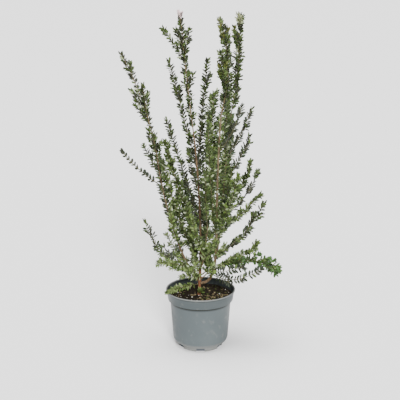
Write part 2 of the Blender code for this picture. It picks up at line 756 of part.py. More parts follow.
def main_stems(limbs, room, guides):
    """Return the stem of each leafy shoot by its name."""
    stems = {}
    for shoot in SHOOTS:
        parent = limbs[shoot.parent]
        if shoot.height is None:
            stems[shoot.name] = stem_limb(shoot, beyond(parent), parent.radii[-1])
        else:
            start = beside(parent, shoot.height, shoot.bend, SHOOT_RADIUS)
            bark = room.surfaces[shoot.parent]
            stems[shoot.name] = seated(stem_limb, shoot, start, TWIG_SIDES, bark, guides)
    return stems


def grow(shoot, stem, stem_mesh, leaf, guard, room, guides):
    """Grow one mass of foliage on its stem and return its fused mesh."""
    seeds = random.Random(shoot.name)
    forks = [fork_limb(stem, share, tip) for share, tip in shoot.forks]
    pieces = []
    bearers = [(stem, FIRST_PAIR)]
    for twig in forks + list(seeded_twigs(stem, seeds)):
        if room.is_clear_along(shoot.name, twig):
            pieces.append((limb_mesh("twig", twig, TWIG_SIDES, guides), Matrix.Identity(4)))
            bearers.append((twig, FIRST_PAIR if twig in forks else twig.length))
    faces = [tuple(face.vertices) for face in guard.polygons]
    for bearer, first in bearers:
        for matrix in pairs_along(bearer, first, seeds, seeds.uniform(0.0, math.tau)):
            corners = [matrix @ vertex.co for vertex in guard.vertices]
            if room.is_clear(shoot.name, corners, faces):
                pieces.append((leaf, matrix))
    return fuse(shoot.name, stem_mesh, pieces, guides)


def make_foliage(limbs, collection, room, guides):
    """Make every mass of foliage, each clear of all the others."""
    greens = {name: make_material(f"leaf_{name}", GREENS[name], 0.55) for name in GREENS}
    leaf = leaf_mesh("leaf")
    guard = leaf_mesh("leaf_guard", LEAF_MARGINS)
    stems = main_stems(limbs, room, guides)
    stem_meshes = {}
    for name, stem in stems.items():
        stem_meshes[name] = limb_mesh(name, stem, TWIG_SIDES, guides)
        room.take(name, stem_meshes[name])
    for shoot in SHOOTS:
        mesh = grow(shoot, stems[shoot.name], stem_meshes[shoot.name], leaf, guard, room, guides)
        room.take(shoot.name, mesh)
        mesh.name = shoot.name
        make_object(shoot.name, mesh, collection, greens[shoot.green])


def main():
    """Build the potted shrub."""
    clear_scene()
    collection = make_collection("potted_tarentum_myrtle")
    guides = make_collection("guides")
    room = Room()
    for thing in (make_pot(collection, guides), make_soil(collection)):
        room.take(thing.name, evaluated_mesh(thing))
    limbs = make_limbs(collection, room, guides)
    make_foliage(limbs, collection, room, guides)


main()
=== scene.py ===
"""Photoreal look of the potted tarentum myrtle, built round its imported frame.

Every solid of the frame is replaced by a finer mesh of the same size. The shrub
grows along the boughs and shoots of the solids, by the same rule, carried on to
finer twigs and to leaves of their natural size. All sizes are in metres, apart
from the tables that say otherwise.
"""

import json
import logging
import math
import random
from collections.abc import Callable, Sequence
from dataclasses import dataclass, field
from enum import Enum
from functools import partial

import bmesh
import bpy
import numpy as np
from mathutils import Matrix, Vector, noise
from mathutils.geometry import interpolate_bezier

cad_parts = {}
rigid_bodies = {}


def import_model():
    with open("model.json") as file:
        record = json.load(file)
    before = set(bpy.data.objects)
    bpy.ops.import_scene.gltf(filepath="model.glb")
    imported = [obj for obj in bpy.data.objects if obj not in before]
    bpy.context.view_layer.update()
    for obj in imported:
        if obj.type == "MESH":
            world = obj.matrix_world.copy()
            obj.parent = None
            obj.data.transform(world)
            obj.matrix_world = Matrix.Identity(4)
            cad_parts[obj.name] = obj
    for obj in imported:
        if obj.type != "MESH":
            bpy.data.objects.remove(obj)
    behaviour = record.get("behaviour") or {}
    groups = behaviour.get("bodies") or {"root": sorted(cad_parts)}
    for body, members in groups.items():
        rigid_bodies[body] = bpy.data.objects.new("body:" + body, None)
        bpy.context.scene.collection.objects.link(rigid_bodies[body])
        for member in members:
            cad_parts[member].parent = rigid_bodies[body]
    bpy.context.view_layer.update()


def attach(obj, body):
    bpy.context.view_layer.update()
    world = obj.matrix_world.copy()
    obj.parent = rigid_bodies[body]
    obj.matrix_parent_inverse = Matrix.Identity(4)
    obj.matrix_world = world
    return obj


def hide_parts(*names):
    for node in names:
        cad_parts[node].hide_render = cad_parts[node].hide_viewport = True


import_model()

Point = tuple[float, float, float]
Colour = tuple[float, float, float]
Pair = tuple[float, float]
Profile = list[Pair]
# Noise as blobs per metre and octaves
Pattern = Pair
# A range of a value and, unless it becomes 0 to 1, what its two ends become
Band = tuple[float, ...]
Mesh = bpy.types.Mesh
Thing = bpy.types.Object
Material = bpy.types.Material
Socket = bpy.types.NodeSocket

log = logging.getLogger("myrtle")

# The Mix node's sockets for colours
MIX_SHARE, MIX_FIRST, MIX_SECOND, MIX_RESULT = 0, 6, 7, 2
# The angle above which an edge is shaded sharp
SHARP = math.radians(40.0)
# Lengths below this count as nothing
TINY = 1e-6
# Millimetres in a metre, for the long tables of places
MILLIMETRES = 1000.0


# Finishes

class Recipe:
    """The node tree of one material, written a node at a time."""

    def __init__(self, name: str, roughness: float, gloss: float = 0.5) -> None:
        """Start a Principled material.

        Args:
            name: the material's name.
            roughness: how matte it is.
            gloss: how strongly it mirrors, 0.5 for a smooth plastic.
        """
        self.material: Material = bpy.data.materials.new(name)
        self.material.use_nodes = True
        self.tree = self.material.node_tree
        self.shader = self.tree.nodes["Principled BSDF"]
        self.shader.inputs["Roughness"].default_value = roughness
        self.shader.inputs["Specular IOR Level"].default_value = gloss
        self.coordinates = self.node("ShaderNodeTexCoord")

    def node(self, kind: str, **inputs: object) -> bpy.types.Node:
        """Add a node and set or link its inputs.

        Args:
            kind: the node's Blender type.
            inputs: a value or a socket for each named input.

        Returns:
            The new node.
        """
        node = self.tree.nodes.new(kind)
        for key, value in inputs.items():
            self.feed(node.inputs[key.replace("_", " ")], value)
        return node

    def feed(self, target: Socket, value: object) -> None:
        """Link a socket to an input, or set the input's own value.

        Args:
            target: the input.
            value: a socket, a number or a colour.
        """
        if isinstance(value, bpy.types.NodeSocket):
            self.tree.links.new(value, target)
        elif isinstance(value, tuple) and len(value) == 3 and target.type == "RGBA":
            target.default_value = (*value, 1.0)
        else:
            target.default_value = value

    def noise(self, scale: float, detail: float = 3.0, stretch: Point = (1.0, 1.0, 1.0)) -> Socket:
        """Add fractal noise that is fixed to the object.

        Args:
            scale: blobs per metre.
            detail: octaves.
            stretch: a factor on the scale along each axis.

        Returns:
            The noise, about 0.5 in the mean.
        """
        mapping = self.node("ShaderNodeMapping", Vector=self.coordinates.outputs["Object"], Scale=stretch)
        made = self.node("ShaderNodeTexNoise", Vector=mapping.outputs[0], Scale=scale, Detail=detail)
        return made.outputs[0]

    def parts(self, kind: str = "Object") -> Sequence[Socket]:
        """Return the X, Y and Z of one of the texture coordinates."""
        return self.node("ShaderNodeSeparateXYZ", Vector=self.coordinates.outputs[kind]).outputs

    def between(self, value: Socket, low: float, high: float, to_low: float = 0.0,
                to_high: float = 1.0) -> Socket:
        """Map a range of a value smoothly to another range.

        Args:
            value: the value.
            low: the start of its range.
            high: the end of its range.
            to_low: what the start becomes.
            to_high: what the end becomes.

        Returns:
            The mapped value.
        """
        node = self.node("ShaderNodeMapRange", Value=value, From_Min=low, From_Max=high, To_Min=to_low,
                         To_Max=to_high)
        node.interpolation_type = "SMOOTHSTEP"
        return node.outputs[0]

    def mix(self, share: Socket, first: Socket | Colour, second: Socket | Colour) -> Socket:
        """Mix two colours.

        Args:
            share: how much of the second colour shows.
            first: a colour.
            second: another colour.

        Returns:
            The mixed colour.
        """
        node = self.tree.nodes.new("ShaderNodeMix")
        node.data_type = "RGBA"
        for socket, value in ((MIX_SHARE, share), (MIX_FIRST, first), (MIX_SECOND, second)):
            self.feed(node.inputs[socket], value)
        return node.outputs[MIX_RESULT]

    def math(self, operation: str, first: Socket | float, second: Socket | float = 0.0) -> Socket:
        """Work out one sum.

        Args:
            operation: the Math node's operation.
            first: its first value.
            second: its second value.

        Returns:
            The result.
        """
        node = self.tree.nodes.new("ShaderNodeMath")
        node.operation = operation
        self.feed(node.inputs[0], first)
        self.feed(node.inputs[1], second)
        return node.outputs[0]

    def relief(self, height: Socket, distance: float, under: Socket | None = None) -> Socket:
        """Add relief to the surface's shading.

        Args:
            height: the height, from 0 to 1.
            distance: the depth of the relief in metres.
            under: coarser relief that this one lies on.

        Returns:
            The bent normal.
        """
        node = self.node("ShaderNodeBump", Height=height, Distance=distance)
        if under is not None:
            self.feed(node.inputs["Normal"], under)
        return node.outputs[0]

    def finish(self, colour: Socket, normal: Socket, roughness: Socket | None = None) -> Material:
        """Wire the shader up.

        Args:
            colour: the base colour.
            normal: the bent normal.
            roughness: the roughness where it varies.

        Returns:
            The finished material.
        """
        self.feed(self.shader.inputs["Base Color"], colour)
        self.feed(self.shader.inputs["Normal"], normal)
        if roughness is not None:
            self.feed(self.shader.inputs["Roughness"], roughness)
        return self.material


def scaled(colour: Colour, factor: float, extra: float = 0.0) -> Colour:
    """Return a colour times a factor and a little more of each part, up to 1."""
    return tuple(min(1.0, factor * part + extra) for part in colour)


@dataclass(frozen=True)
class PotPlastic:
    """Satin grey moulded plastic with a fine grain, faint flow marks and a little dust.

    Its colour holds painted light: paler towards the foot, partly dusty and partly painted light from the
    floor's bounce; painted shade on the band, on the inside wall and under the band and the lip; and a
    painted highlight on the lip's top. Each of the shaded edges is the reach of the painted shade below the
    edge and its share.
    """

    colour: Colour = (0.066, 0.080, 0.084)
    pale: Colour = (0.078, 0.093, 0.096)
    # Colour of the dusty specks, of the paler foot (partly dusty, partly painted light from the floor's
    # bounce) and of the painted highlight on the lip
    dust_and_highlight: Colour = (0.160, 0.164, 0.156)
    # Painted shade: the dark colour that the band, the inside wall and the strips under the band and the lip
    # are mixed towards
    painted_shade: Colour = (0.014, 0.016, 0.014)
    # Painted shade on the band, which faces a little downward: its share
    band_shade_share: float = 0.26
    band_foot: float = 0.134
    # Painted shade on the inside wall above the band's foot: the wall's radii that tell inside from outside,
    # and the share
    wall_radii: Pair = (0.0893, 0.0930)
    inner_shade_share: float = 0.50
    lip_foot: float = 0.1595
    # Painted highlight on the lip's top, where light from above falls: where it starts and its share
    lip_highlight_foot: float = 0.1604
    lip_highlight_share: float = 0.85
    # Height up to which the foot is paler, partly dusty and partly painted light from the floor's bounce
    foot_top: float = 0.026
    fade: float = 0.0008
    # Painted shade under the band and under the lip, where their shadow falls: its reach below each edge and
    # its share
    shaded_edges: tuple[Pair, ...] = ((0.0105, 1.00), (0.0040, 0.60))
    shade_end: float = 0.3
    edge_fade: Band = (0.0002, 0.0007)
    roughness: float = 0.45
    gloss: float = 0.20
    flow: Pattern = (9.0, 3.0)
    flow_band: Band = (0.35, 0.70)
    flow_depth: float = 0.00020
    grain: Pattern = (1400.0, 2.0)
    grain_depth: float = 0.00006
    specks: Pattern = (60.0, 6.0)
    speck_band: Band = (0.56, 0.80, 0.0, 0.45)
    cloud: Pattern = (14.0, 3.0)
    cloud_roughness: Band = (0.3, 0.7, 0.38, 0.56)

    def material(self) -> Material:
        """Return the finished material."""
        recipe = Recipe("pot_plastic", self.roughness, self.gloss)
        flow = recipe.noise(*self.flow)
        height = recipe.parts()[2]
        colour = recipe.mix(recipe.between(flow, *self.flow_band), self.colour, self.pale)
        specks = recipe.between(recipe.noise(*self.specks), *self.speck_band)
        # Paler near the foot: partly dusty, partly painted light from the floor's bounce
        low = recipe.between(height, 0.5 * self.foot_top, self.foot_top, 1.0, 0.0)
        colour = recipe.mix(recipe.math("MAXIMUM", specks, low), colour, self.dust_and_highlight)
        # Painted shade on the band, on the inside wall and under the band and the lip
        for first, second in self.painted_shades(recipe, height):
            colour = recipe.mix(recipe.math("MULTIPLY", first, second), colour, self.painted_shade)
        # Painted highlight on the lip's top
        lip_highlight = recipe.between(height, self.lip_highlight_foot, self.lip_highlight_foot + self.fade, 0.0, self.lip_highlight_share)
        colour = recipe.mix(lip_highlight, colour, self.dust_and_highlight)
        marks = recipe.relief(flow, self.flow_depth)
        normal = recipe.relief(recipe.noise(*self.grain), self.grain_depth, marks)
        roughness = recipe.between(recipe.noise(*self.cloud), *self.cloud_roughness)
        return recipe.finish(colour, normal, roughness)

    def painted_shades(self, recipe: Recipe, height: Socket) -> list[tuple[Socket, Socket]]:
        """Add the painted shade of the band, of the inside wall and under each edge.

        Args:
            recipe: the material's recipe.
            height: the height on the pot.

        Returns:
            Two shares for each painted shade, which are multiplied.
        """
        half = 0.5 * self.fade
        # Painted shade at the band's heights, from its foot up to the lip
        above = recipe.between(height, self.band_foot, self.band_foot + self.fade)
        lip = recipe.between(height, self.lip_foot, self.lip_foot + half, self.band_shade_share, 0.0)
        wall = recipe.between(height, self.band_foot, self.lip_foot, *self.wall_radii)
        inward = recipe.math("SUBTRACT", self.radius(recipe), wall)
        # Painted shade on the band's heights, then on the inside wall
        painted_shades = [(above, lip), (above, recipe.between(inward, -half, half, self.inner_shade_share, 0.0))]
        # Painted shade in the strips under the band and under the lip
        for foot, (reach, share) in zip((self.band_foot, self.lip_foot), self.shaded_edges):
            under = recipe.between(height, foot - reach, foot - self.shade_end * reach, 0.0, share)
            fades = [foot + distance for distance in self.edge_fade]
            painted_shades.append((under, recipe.between(height, *fades, 1.0, 0.0)))
        return painted_shades

    def radius(self, recipe: Recipe) -> Socket:
        """Add the distance from the pot's axis."""
        squares = [recipe.math("MULTIPLY", part, part) for part in recipe.parts()[:2]]
        return recipe.math("SQRT", recipe.math("ADD", *squares))


@dataclass(frozen=True)
class Grit:
    """A crumbly or woody stuff of two mixed colours."""

    name: str
    colour: Colour
    other: Colour
    scale: float = 160.0
    depth: float = 0.0006
    roughness: float = 0.95
    foot: Colour | None = None
    foot_top: float = 0.010
    foot_fade: float = 0.0005
    gloss: float = 0.12
    octaves: Pair = (5.0, 3.0)
    finer: float = 6.0
    patch_band: Band = (0.42, 0.66)
    shade: Colour = (0.010, 0.008, 0.006)
    shade_band: Band = (0.3, 0.7, 0.0, 0.35)
    grain_share: float = 0.25

    def material(self) -> Material:
        """Return the finished material."""
        recipe = Recipe(self.name, self.roughness, self.gloss)
        patch = recipe.noise(self.scale, self.octaves[0])
        grain = recipe.noise(self.scale * self.finer, self.octaves[1])
        colour = recipe.mix(recipe.between(patch, *self.patch_band), self.colour, self.other)
        colour = recipe.mix(recipe.between(grain, *self.shade_band), colour, self.shade)
        if self.foot:
            fades = (self.foot_top - self.foot_fade, self.foot_top + self.foot_fade)
            colour = recipe.mix(recipe.between(recipe.parts()[2], *fades, 1.0, 0.0), colour, self.foot)
        normal = recipe.relief(grain, self.grain_share * self.depth, recipe.relief(patch, self.depth))
        return recipe.finish(colour, normal)


@dataclass(frozen=True)
class Bark:
    """Thin ridged bark of two mixed browns, redder on the lowest part of the plant."""

    name: str
    colour: Colour
    ridge: Colour
    red_share: float = 0.0
    red: Colour = (0.150, 0.046, 0.020)
    red_heights: Pair = (0.200, 0.330)
    red_band: Band = (0.30, 0.60)
    roughness: float = 0.78
    gloss: float = 0.20
    furrows: Pattern = (520.0, 4.0)
    stretch: Point = (1.0, 1.0, 0.14)
    furrow_band: Band = (0.38, 0.64)
    patches: Pattern = (70.0, 4.0)
    patch_band: Band = (0.52, 0.78, 0.0, 0.55)
    pale: Pair = (1.55, 0.02)
    depth: float = 0.0006

    def material(self) -> Material:
        """Return the finished material."""
        recipe = Recipe(self.name, self.roughness, self.gloss)
        furrow = recipe.noise(*self.furrows, self.stretch)
        colour = recipe.mix(recipe.between(furrow, *self.furrow_band), self.colour, self.ridge)
        patch = recipe.between(recipe.noise(*self.patches), *self.patch_band)
        colour = recipe.mix(patch, colour, scaled(self.ridge, *self.pale))
        low = recipe.between(recipe.parts()[2], *self.red_heights, self.red_share, 0.0)
        reddened = recipe.math("MULTIPLY", low, recipe.between(furrow, *self.red_band))
        return recipe.finish(recipe.mix(reddened, colour, self.red), recipe.relief(furrow, self.depth))


class Green(Enum):
    """The leaf colours that are dealt out among the sprays."""

    DUSK = (0.022, 0.025, 0.013)
    DEEP = (0.009, 0.015, 0.004)
    DARK = (0.023, 0.038, 0.008)
    BLUE = (0.022, 0.035, 0.018)
    MID = (0.050, 0.076, 0.017)
    BRIGHT = (0.082, 0.126, 0.025)
    GRASS = (0.040, 0.086, 0.019)
    FRESH = (0.130, 0.205, 0.050)
    PALE = (0.128, 0.172, 0.056)
    OLIVE = (0.070, 0.080, 0.013)
    SAGE = (0.185, 0.200, 0.105)
    # Very pale leaves: partly the pale undersides of myrtle leaves, partly painted highlight standing in for
    # the gloss of lit leaves
    SILVER = (0.240, 0.280, 0.160)
    BLUSH = (0.620, 0.470, 0.480)


@dataclass(frozen=True)
class LeafSkin:
    """Leathery half-glossy leaf with a pale midrib and side veins.

    The leaf's paler colours are given as a factor and a little more of each part.
    """

    green: Green
    roughness: float = 0.42
    gloss: float = 0.34
    deep: float = 0.62
    pale: Pair = (1.55, 0.006)
    rib: Pair = (2.1, 0.01)
    tone: Pattern = (75.0, 2.0)
    tone_band: Band = (0.34, 0.66)
    mottle: Pattern = (700.0, 4.0)
    mottle_band: Band = (0.30, 0.75, 0.0, 0.45)
    mottle_depth: float = 0.00010
    rib_band: Band = (0.02, 0.07, 0.55, 0.0)
    vein_slant: float = 0.55
    vein_turns: float = 58.0
    vein_band: Band = (0.55, 1.0)
    vein_depth: float = 0.00018

    def material(self) -> Material:
        """Return the finished material."""
        recipe = Recipe("leaf_" + self.green.name.lower(), self.roughness, self.gloss)
        base = self.green.value
        mottle = recipe.noise(*self.mottle)
        tone = recipe.between(recipe.noise(*self.tone), *self.tone_band)
        colour = recipe.mix(tone, scaled(base, self.deep), scaled(base, *self.pale))
        colour = recipe.mix(recipe.between(mottle, *self.mottle_band), colour, base)
        across, along, _ = recipe.parts("UV")
        off = recipe.math("ABSOLUTE", recipe.math("SUBTRACT", across, 0.5))
        colour = recipe.mix(recipe.between(off, *self.rib_band), colour, scaled(base, *self.rib))
        slant = recipe.math("SUBTRACT", along, recipe.math("MULTIPLY", off, self.vein_slant))
        wave = recipe.math("SINE", recipe.math("MULTIPLY", slant, self.vein_turns))
        veins = recipe.relief(recipe.between(wave, *self.vein_band), self.vein_depth)
        return recipe.finish(colour, recipe.relief(mottle, self.mottle_depth, veins))


@dataclass(frozen=True)
class FloorPaint:
    """Plain pale studio floor with a faint matte grain."""

    colour: Colour = (0.90, 0.90, 0.90)
    roughness: float = 0.9
    grain: Pattern = (300.0, 2.0)
    shade: float = 0.985
    depth: float = 0.00002

    def material(self) -> Material:
        """Return the finished material."""
        recipe = Recipe("floor", self.roughness)
        grain = recipe.noise(*self.grain)
        colour = recipe.mix(grain, self.colour, scaled(self.colour, self.shade))
        return recipe.finish(colour, recipe.relief(grain, self.depth))


# Meshes

def placed(name: str, data: bpy.types.ID) -> Thing:
    """Link a new object to the scene.

    Args:
        name: its name.
        data: its mesh, light or camera.

    Returns:
        The object.
    """
    thing = bpy.data.objects.new(name, data)
    bpy.context.scene.collection.objects.link(thing)
    return thing


def show(name: str, mesh: Mesh, material: Material, nodes: Sequence[str]) -> None:
    """Place a mesh as a piece of the object.

    Args:
        name: the piece's name.
        mesh: its mesh.
        material: its finish.
        nodes: the frame's nodes that it stands for.
    """
    mesh.materials.clear()
    mesh.materials.append(material)
    piece = placed(name, mesh)
    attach(piece, "root")
    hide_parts(*nodes)
    log.info("%s: %d faces", name, len(mesh.polygons))


@dataclass
class Heap:
    """Corners and faces gathered from many small shapes into one mesh."""

    name: str
    corners: list[np.ndarray] = field(default_factory=list)
    faces: list[tuple[int, ...]] = field(default_factory=list)
    count: int = 0

    def add(self, corners: np.ndarray, faces: Sequence[tuple[int, ...]]) -> None:
        """Add one shape.

        Args:
            corners: its corners, one row each.
            faces: its faces as numbers of corners.
        """
        start = self.count
        self.corners.append(corners)
        self.faces += [tuple(start + corner for corner in face) for face in faces]
        self.count += len(corners)

    def mesh(self, smooth: bool = True) -> Mesh:
        """Make the mesh.

        Args:
            smooth: whether its faces are shaded smooth.

        Returns:
            The new mesh.
        """
        mesh = bpy.data.meshes.new(self.name)
        mesh.from_pydata(np.concatenate(self.corners).tolist(), [], self.faces)
        mesh.polygons.foreach_set("use_smooth", [smooth] * len(mesh.polygons))
        mesh.update()
        return mesh


def soften(profile: Profile, cut: float, steps: int = 3, most: float = 0.45) -> Profile:
    """Round the corners of a profile.

    Args:
        profile: radii and heights.
        cut: how far from a corner its rounding starts, at most.
        steps: points in each rounding, less one.
        most: the largest share of a side that one rounding may take.

    Returns:
        The softened profile.
    """
    soft = [profile[0]]
    for before, corner, after in zip(profile, profile[1:], profile[2:]):
        middle = Vector(corner)
        into, out = Vector(before) - middle, Vector(after) - middle
        reach = min(cut, most * into.length, most * out.length)
        start, end = middle + into.normalized() * reach, middle + out.normalized() * reach
        for step in range(steps + 1):
            share = step / steps
            place = start.lerp(middle, share).lerp(middle.lerp(end, share), share)
            soft.append((place.x, place.y))
    return soft + [profile[-1]]


def turned(name: str, profile: Profile, sides: int) -> Mesh:
    """Turn a profile about Z.

    Args:
        name: the mesh's name.
        profile: radii and heights, from the axis back to the axis.
        sides: faces round the turn.

    Returns:
        The new mesh, shaded smooth up to sharp edges.
    """
    corners, faces, rows = [], [], []
    for radius, height in profile:
        start = len(corners)
        if radius < TINY:
            corners.append((0.0, 0.0, height))
            rows.append([start] * sides)
            continue
        for side in range(sides):
            angle = math.tau * side / sides
            corners.append((radius * math.cos(angle), radius * math.sin(angle), height))
        rows.append(list(range(start, start + sides)))
    for first, second in zip(rows, rows[1:]):
        for side in range(sides):
            onward = (side + 1) % sides
            face = tuple(dict.fromkeys((first[side], first[onward], second[onward], second[side])))
            if len(face) > 2:
                faces.append(face)
    mesh = bpy.data.meshes.new(name)
    mesh.from_pydata(corners, [], faces)
    mesh.validate()
    smooth_flats(mesh)
    return mesh


def smooth_flats(mesh: Mesh) -> None:
    """Shade a mesh smooth apart from its sharp edges."""
    mesh.polygons.foreach_set("use_smooth", [True] * len(mesh.polygons))
    mesh.set_sharp_from_angle(angle=SHARP)


# Pot and soil

@dataclass
class Pot:
    """The round nursery pot: lip, rim band, tapering body, rounded foot and slotted foot ring."""

    height: float = 0.163
    rim_radius: float = 0.0962
    wall: float = 0.0018
    floor: float = 0.0022
    lip_height: float = 0.0035
    lip_depth: float = 0.0018
    band_height: float = 0.029
    band_foot_radius: float = 0.0902
    body_top_radius: float = 0.0845
    body_foot_radius: float = 0.0769
    round_top: float = 0.030
    round_fullness: float = 0.8
    round_steps: int = 9
    ring_height: float = 0.0125
    ring_radius: float = 0.0625
    slots: int = 6
    slot_depth: float = 0.0150
    slot_width: float = 0.0230
    slot_top: float = 0.0088
    first_slot: float = math.radians(-90.0)
    slot_round: float = 0.0014
    slot_segments: int = 4
    ring_taper: float = 0.0006
    ledge: float = 0.0002
    sides: int = 144
    edge: float = 0.0009
    finish: PotPlastic = PotPlastic()

    @property
    def band_foot(self) -> float:
        """Return the height of the band's lower edge."""
        return self.height - self.band_height

    def band_radius(self, height: float) -> float:
        """Return the band's outer radius at a height."""
        share = (height - self.band_foot) / self.band_height
        return self.band_foot_radius + (self.rim_radius - self.lip_depth - self.band_foot_radius) * share

    def base_round(self) -> Profile:
        """Return the rounded run from the body's foot in to the foot ring, top first."""
        points = []
        for step in range(1, self.round_steps):
            angle = math.radians(90.0) * step / self.round_steps
            outward = math.cos(angle) ** self.round_fullness
            radius = self.ring_radius + (self.body_foot_radius - self.ring_radius) * outward
            points.append((radius, self.round_top - (self.round_top - self.ring_height) * math.sin(angle)))
        return points

    def outer(self) -> Profile:
        """Return the outer side from the lip down to the underside."""
        lip_foot = self.height - self.lip_height
        return [
            (self.rim_radius, self.height),
            (self.rim_radius, lip_foot),
            (self.band_radius(lip_foot), lip_foot),
            (self.band_foot_radius, self.band_foot),
            (self.body_top_radius, self.band_foot + self.ledge),
            (self.body_foot_radius, self.round_top),
            *self.base_round(),
            (self.ring_radius, self.ring_height),
            (self.ring_radius - self.ring_taper, 0.0),
            (0.0, 0.0),
        ]

    def inner(self) -> Profile:
        """Return the inner side from the middle of the floor up to the lip."""
        ring = self.ring_radius - self.wall
        rounds = [(radius - self.wall, height) for radius, height in reversed(self.base_round())]
        return [
            (0.0, self.floor),
            (ring, self.floor),
            (ring, self.ring_height),
            *rounds,
            (self.body_foot_radius - self.wall, self.round_top),
            (self.body_top_radius - self.wall, self.band_foot + self.wall),
            (self.band_foot_radius - self.wall, self.band_foot + self.wall),
            (self.rim_radius - self.lip_depth - self.wall, self.height),
        ]

    def cutter(self, number: int) -> Thing:
        """Return the rounded box that cuts one drain slot.

        Args:
            number: the number of the slot.

        Returns:
            The cutter, which is removed later.
        """
        mesh = bpy.data.meshes.new("slot_cutter")
        box = bmesh.new()
        bmesh.ops.create_cube(box, size=1.0)
        size = Vector((self.slot_depth, self.slot_width, 2.0 * self.slot_top))
        bmesh.ops.scale(box, vec=size, verts=box.verts)
        through = [edge for edge in box.edges if abs(edge.verts[0].co.x - edge.verts[1].co.x) > TINY]
        bmesh.ops.bevel(box, geom=through, offset=self.slot_round, segments=self.slot_segments,
                        affect="EDGES", profile=0.5)
        box.to_mesh(mesh)
        box.free()
        angle = self.first_slot + math.tau * number / self.slots
        cutter = placed(mesh.name, mesh)
        cutter.location = (self.ring_radius * math.cos(angle), self.ring_radius * math.sin(angle), 0.0)
        cutter.rotation_euler = (0.0, 0.0, angle)
        return cutter

    def build(self) -> None:
        """Build and dress the pot."""
        profile = soften(self.inner() + self.outer(), self.edge)
        shell = placed("shell", turned("shell", profile, self.sides))
        cutters = [self.cutter(number) for number in range(self.slots)]
        for cutter in cutters:
            cut = shell.modifiers.new(cutter.name, "BOOLEAN")
            cut.operation = "DIFFERENCE"
            cut.object = cutter
        mesh = applied(shell)
        mesh.name = "pot_shell"
        for thing in (shell, *cutters):
            bpy.data.objects.remove(thing, do_unlink=True)
        smooth_flats(mesh)
        show("pot_shell", mesh, self.finish.material(), ["pot"])


def applied(thing: Thing) -> Mesh:
    """Return a copy of an object's mesh with its modifiers applied."""
    depsgraph = bpy.context.evaluated_depsgraph_get()
    return bpy.data.meshes.new_from_object(thing.evaluated_get(depsgraph), depsgraph=depsgraph)


@dataclass(frozen=True)
class Crumbs:
    """One kind of loose bit on the soil.

    The share `side` of the bits is thrown to the front: to the right, or to the left where
    it is below 0.
    """

    name: str
    finish: Grit
    count: int
    smallest: float
    largest: float
    flatness: float
    length: float = 1.0
    side: float = 0.0


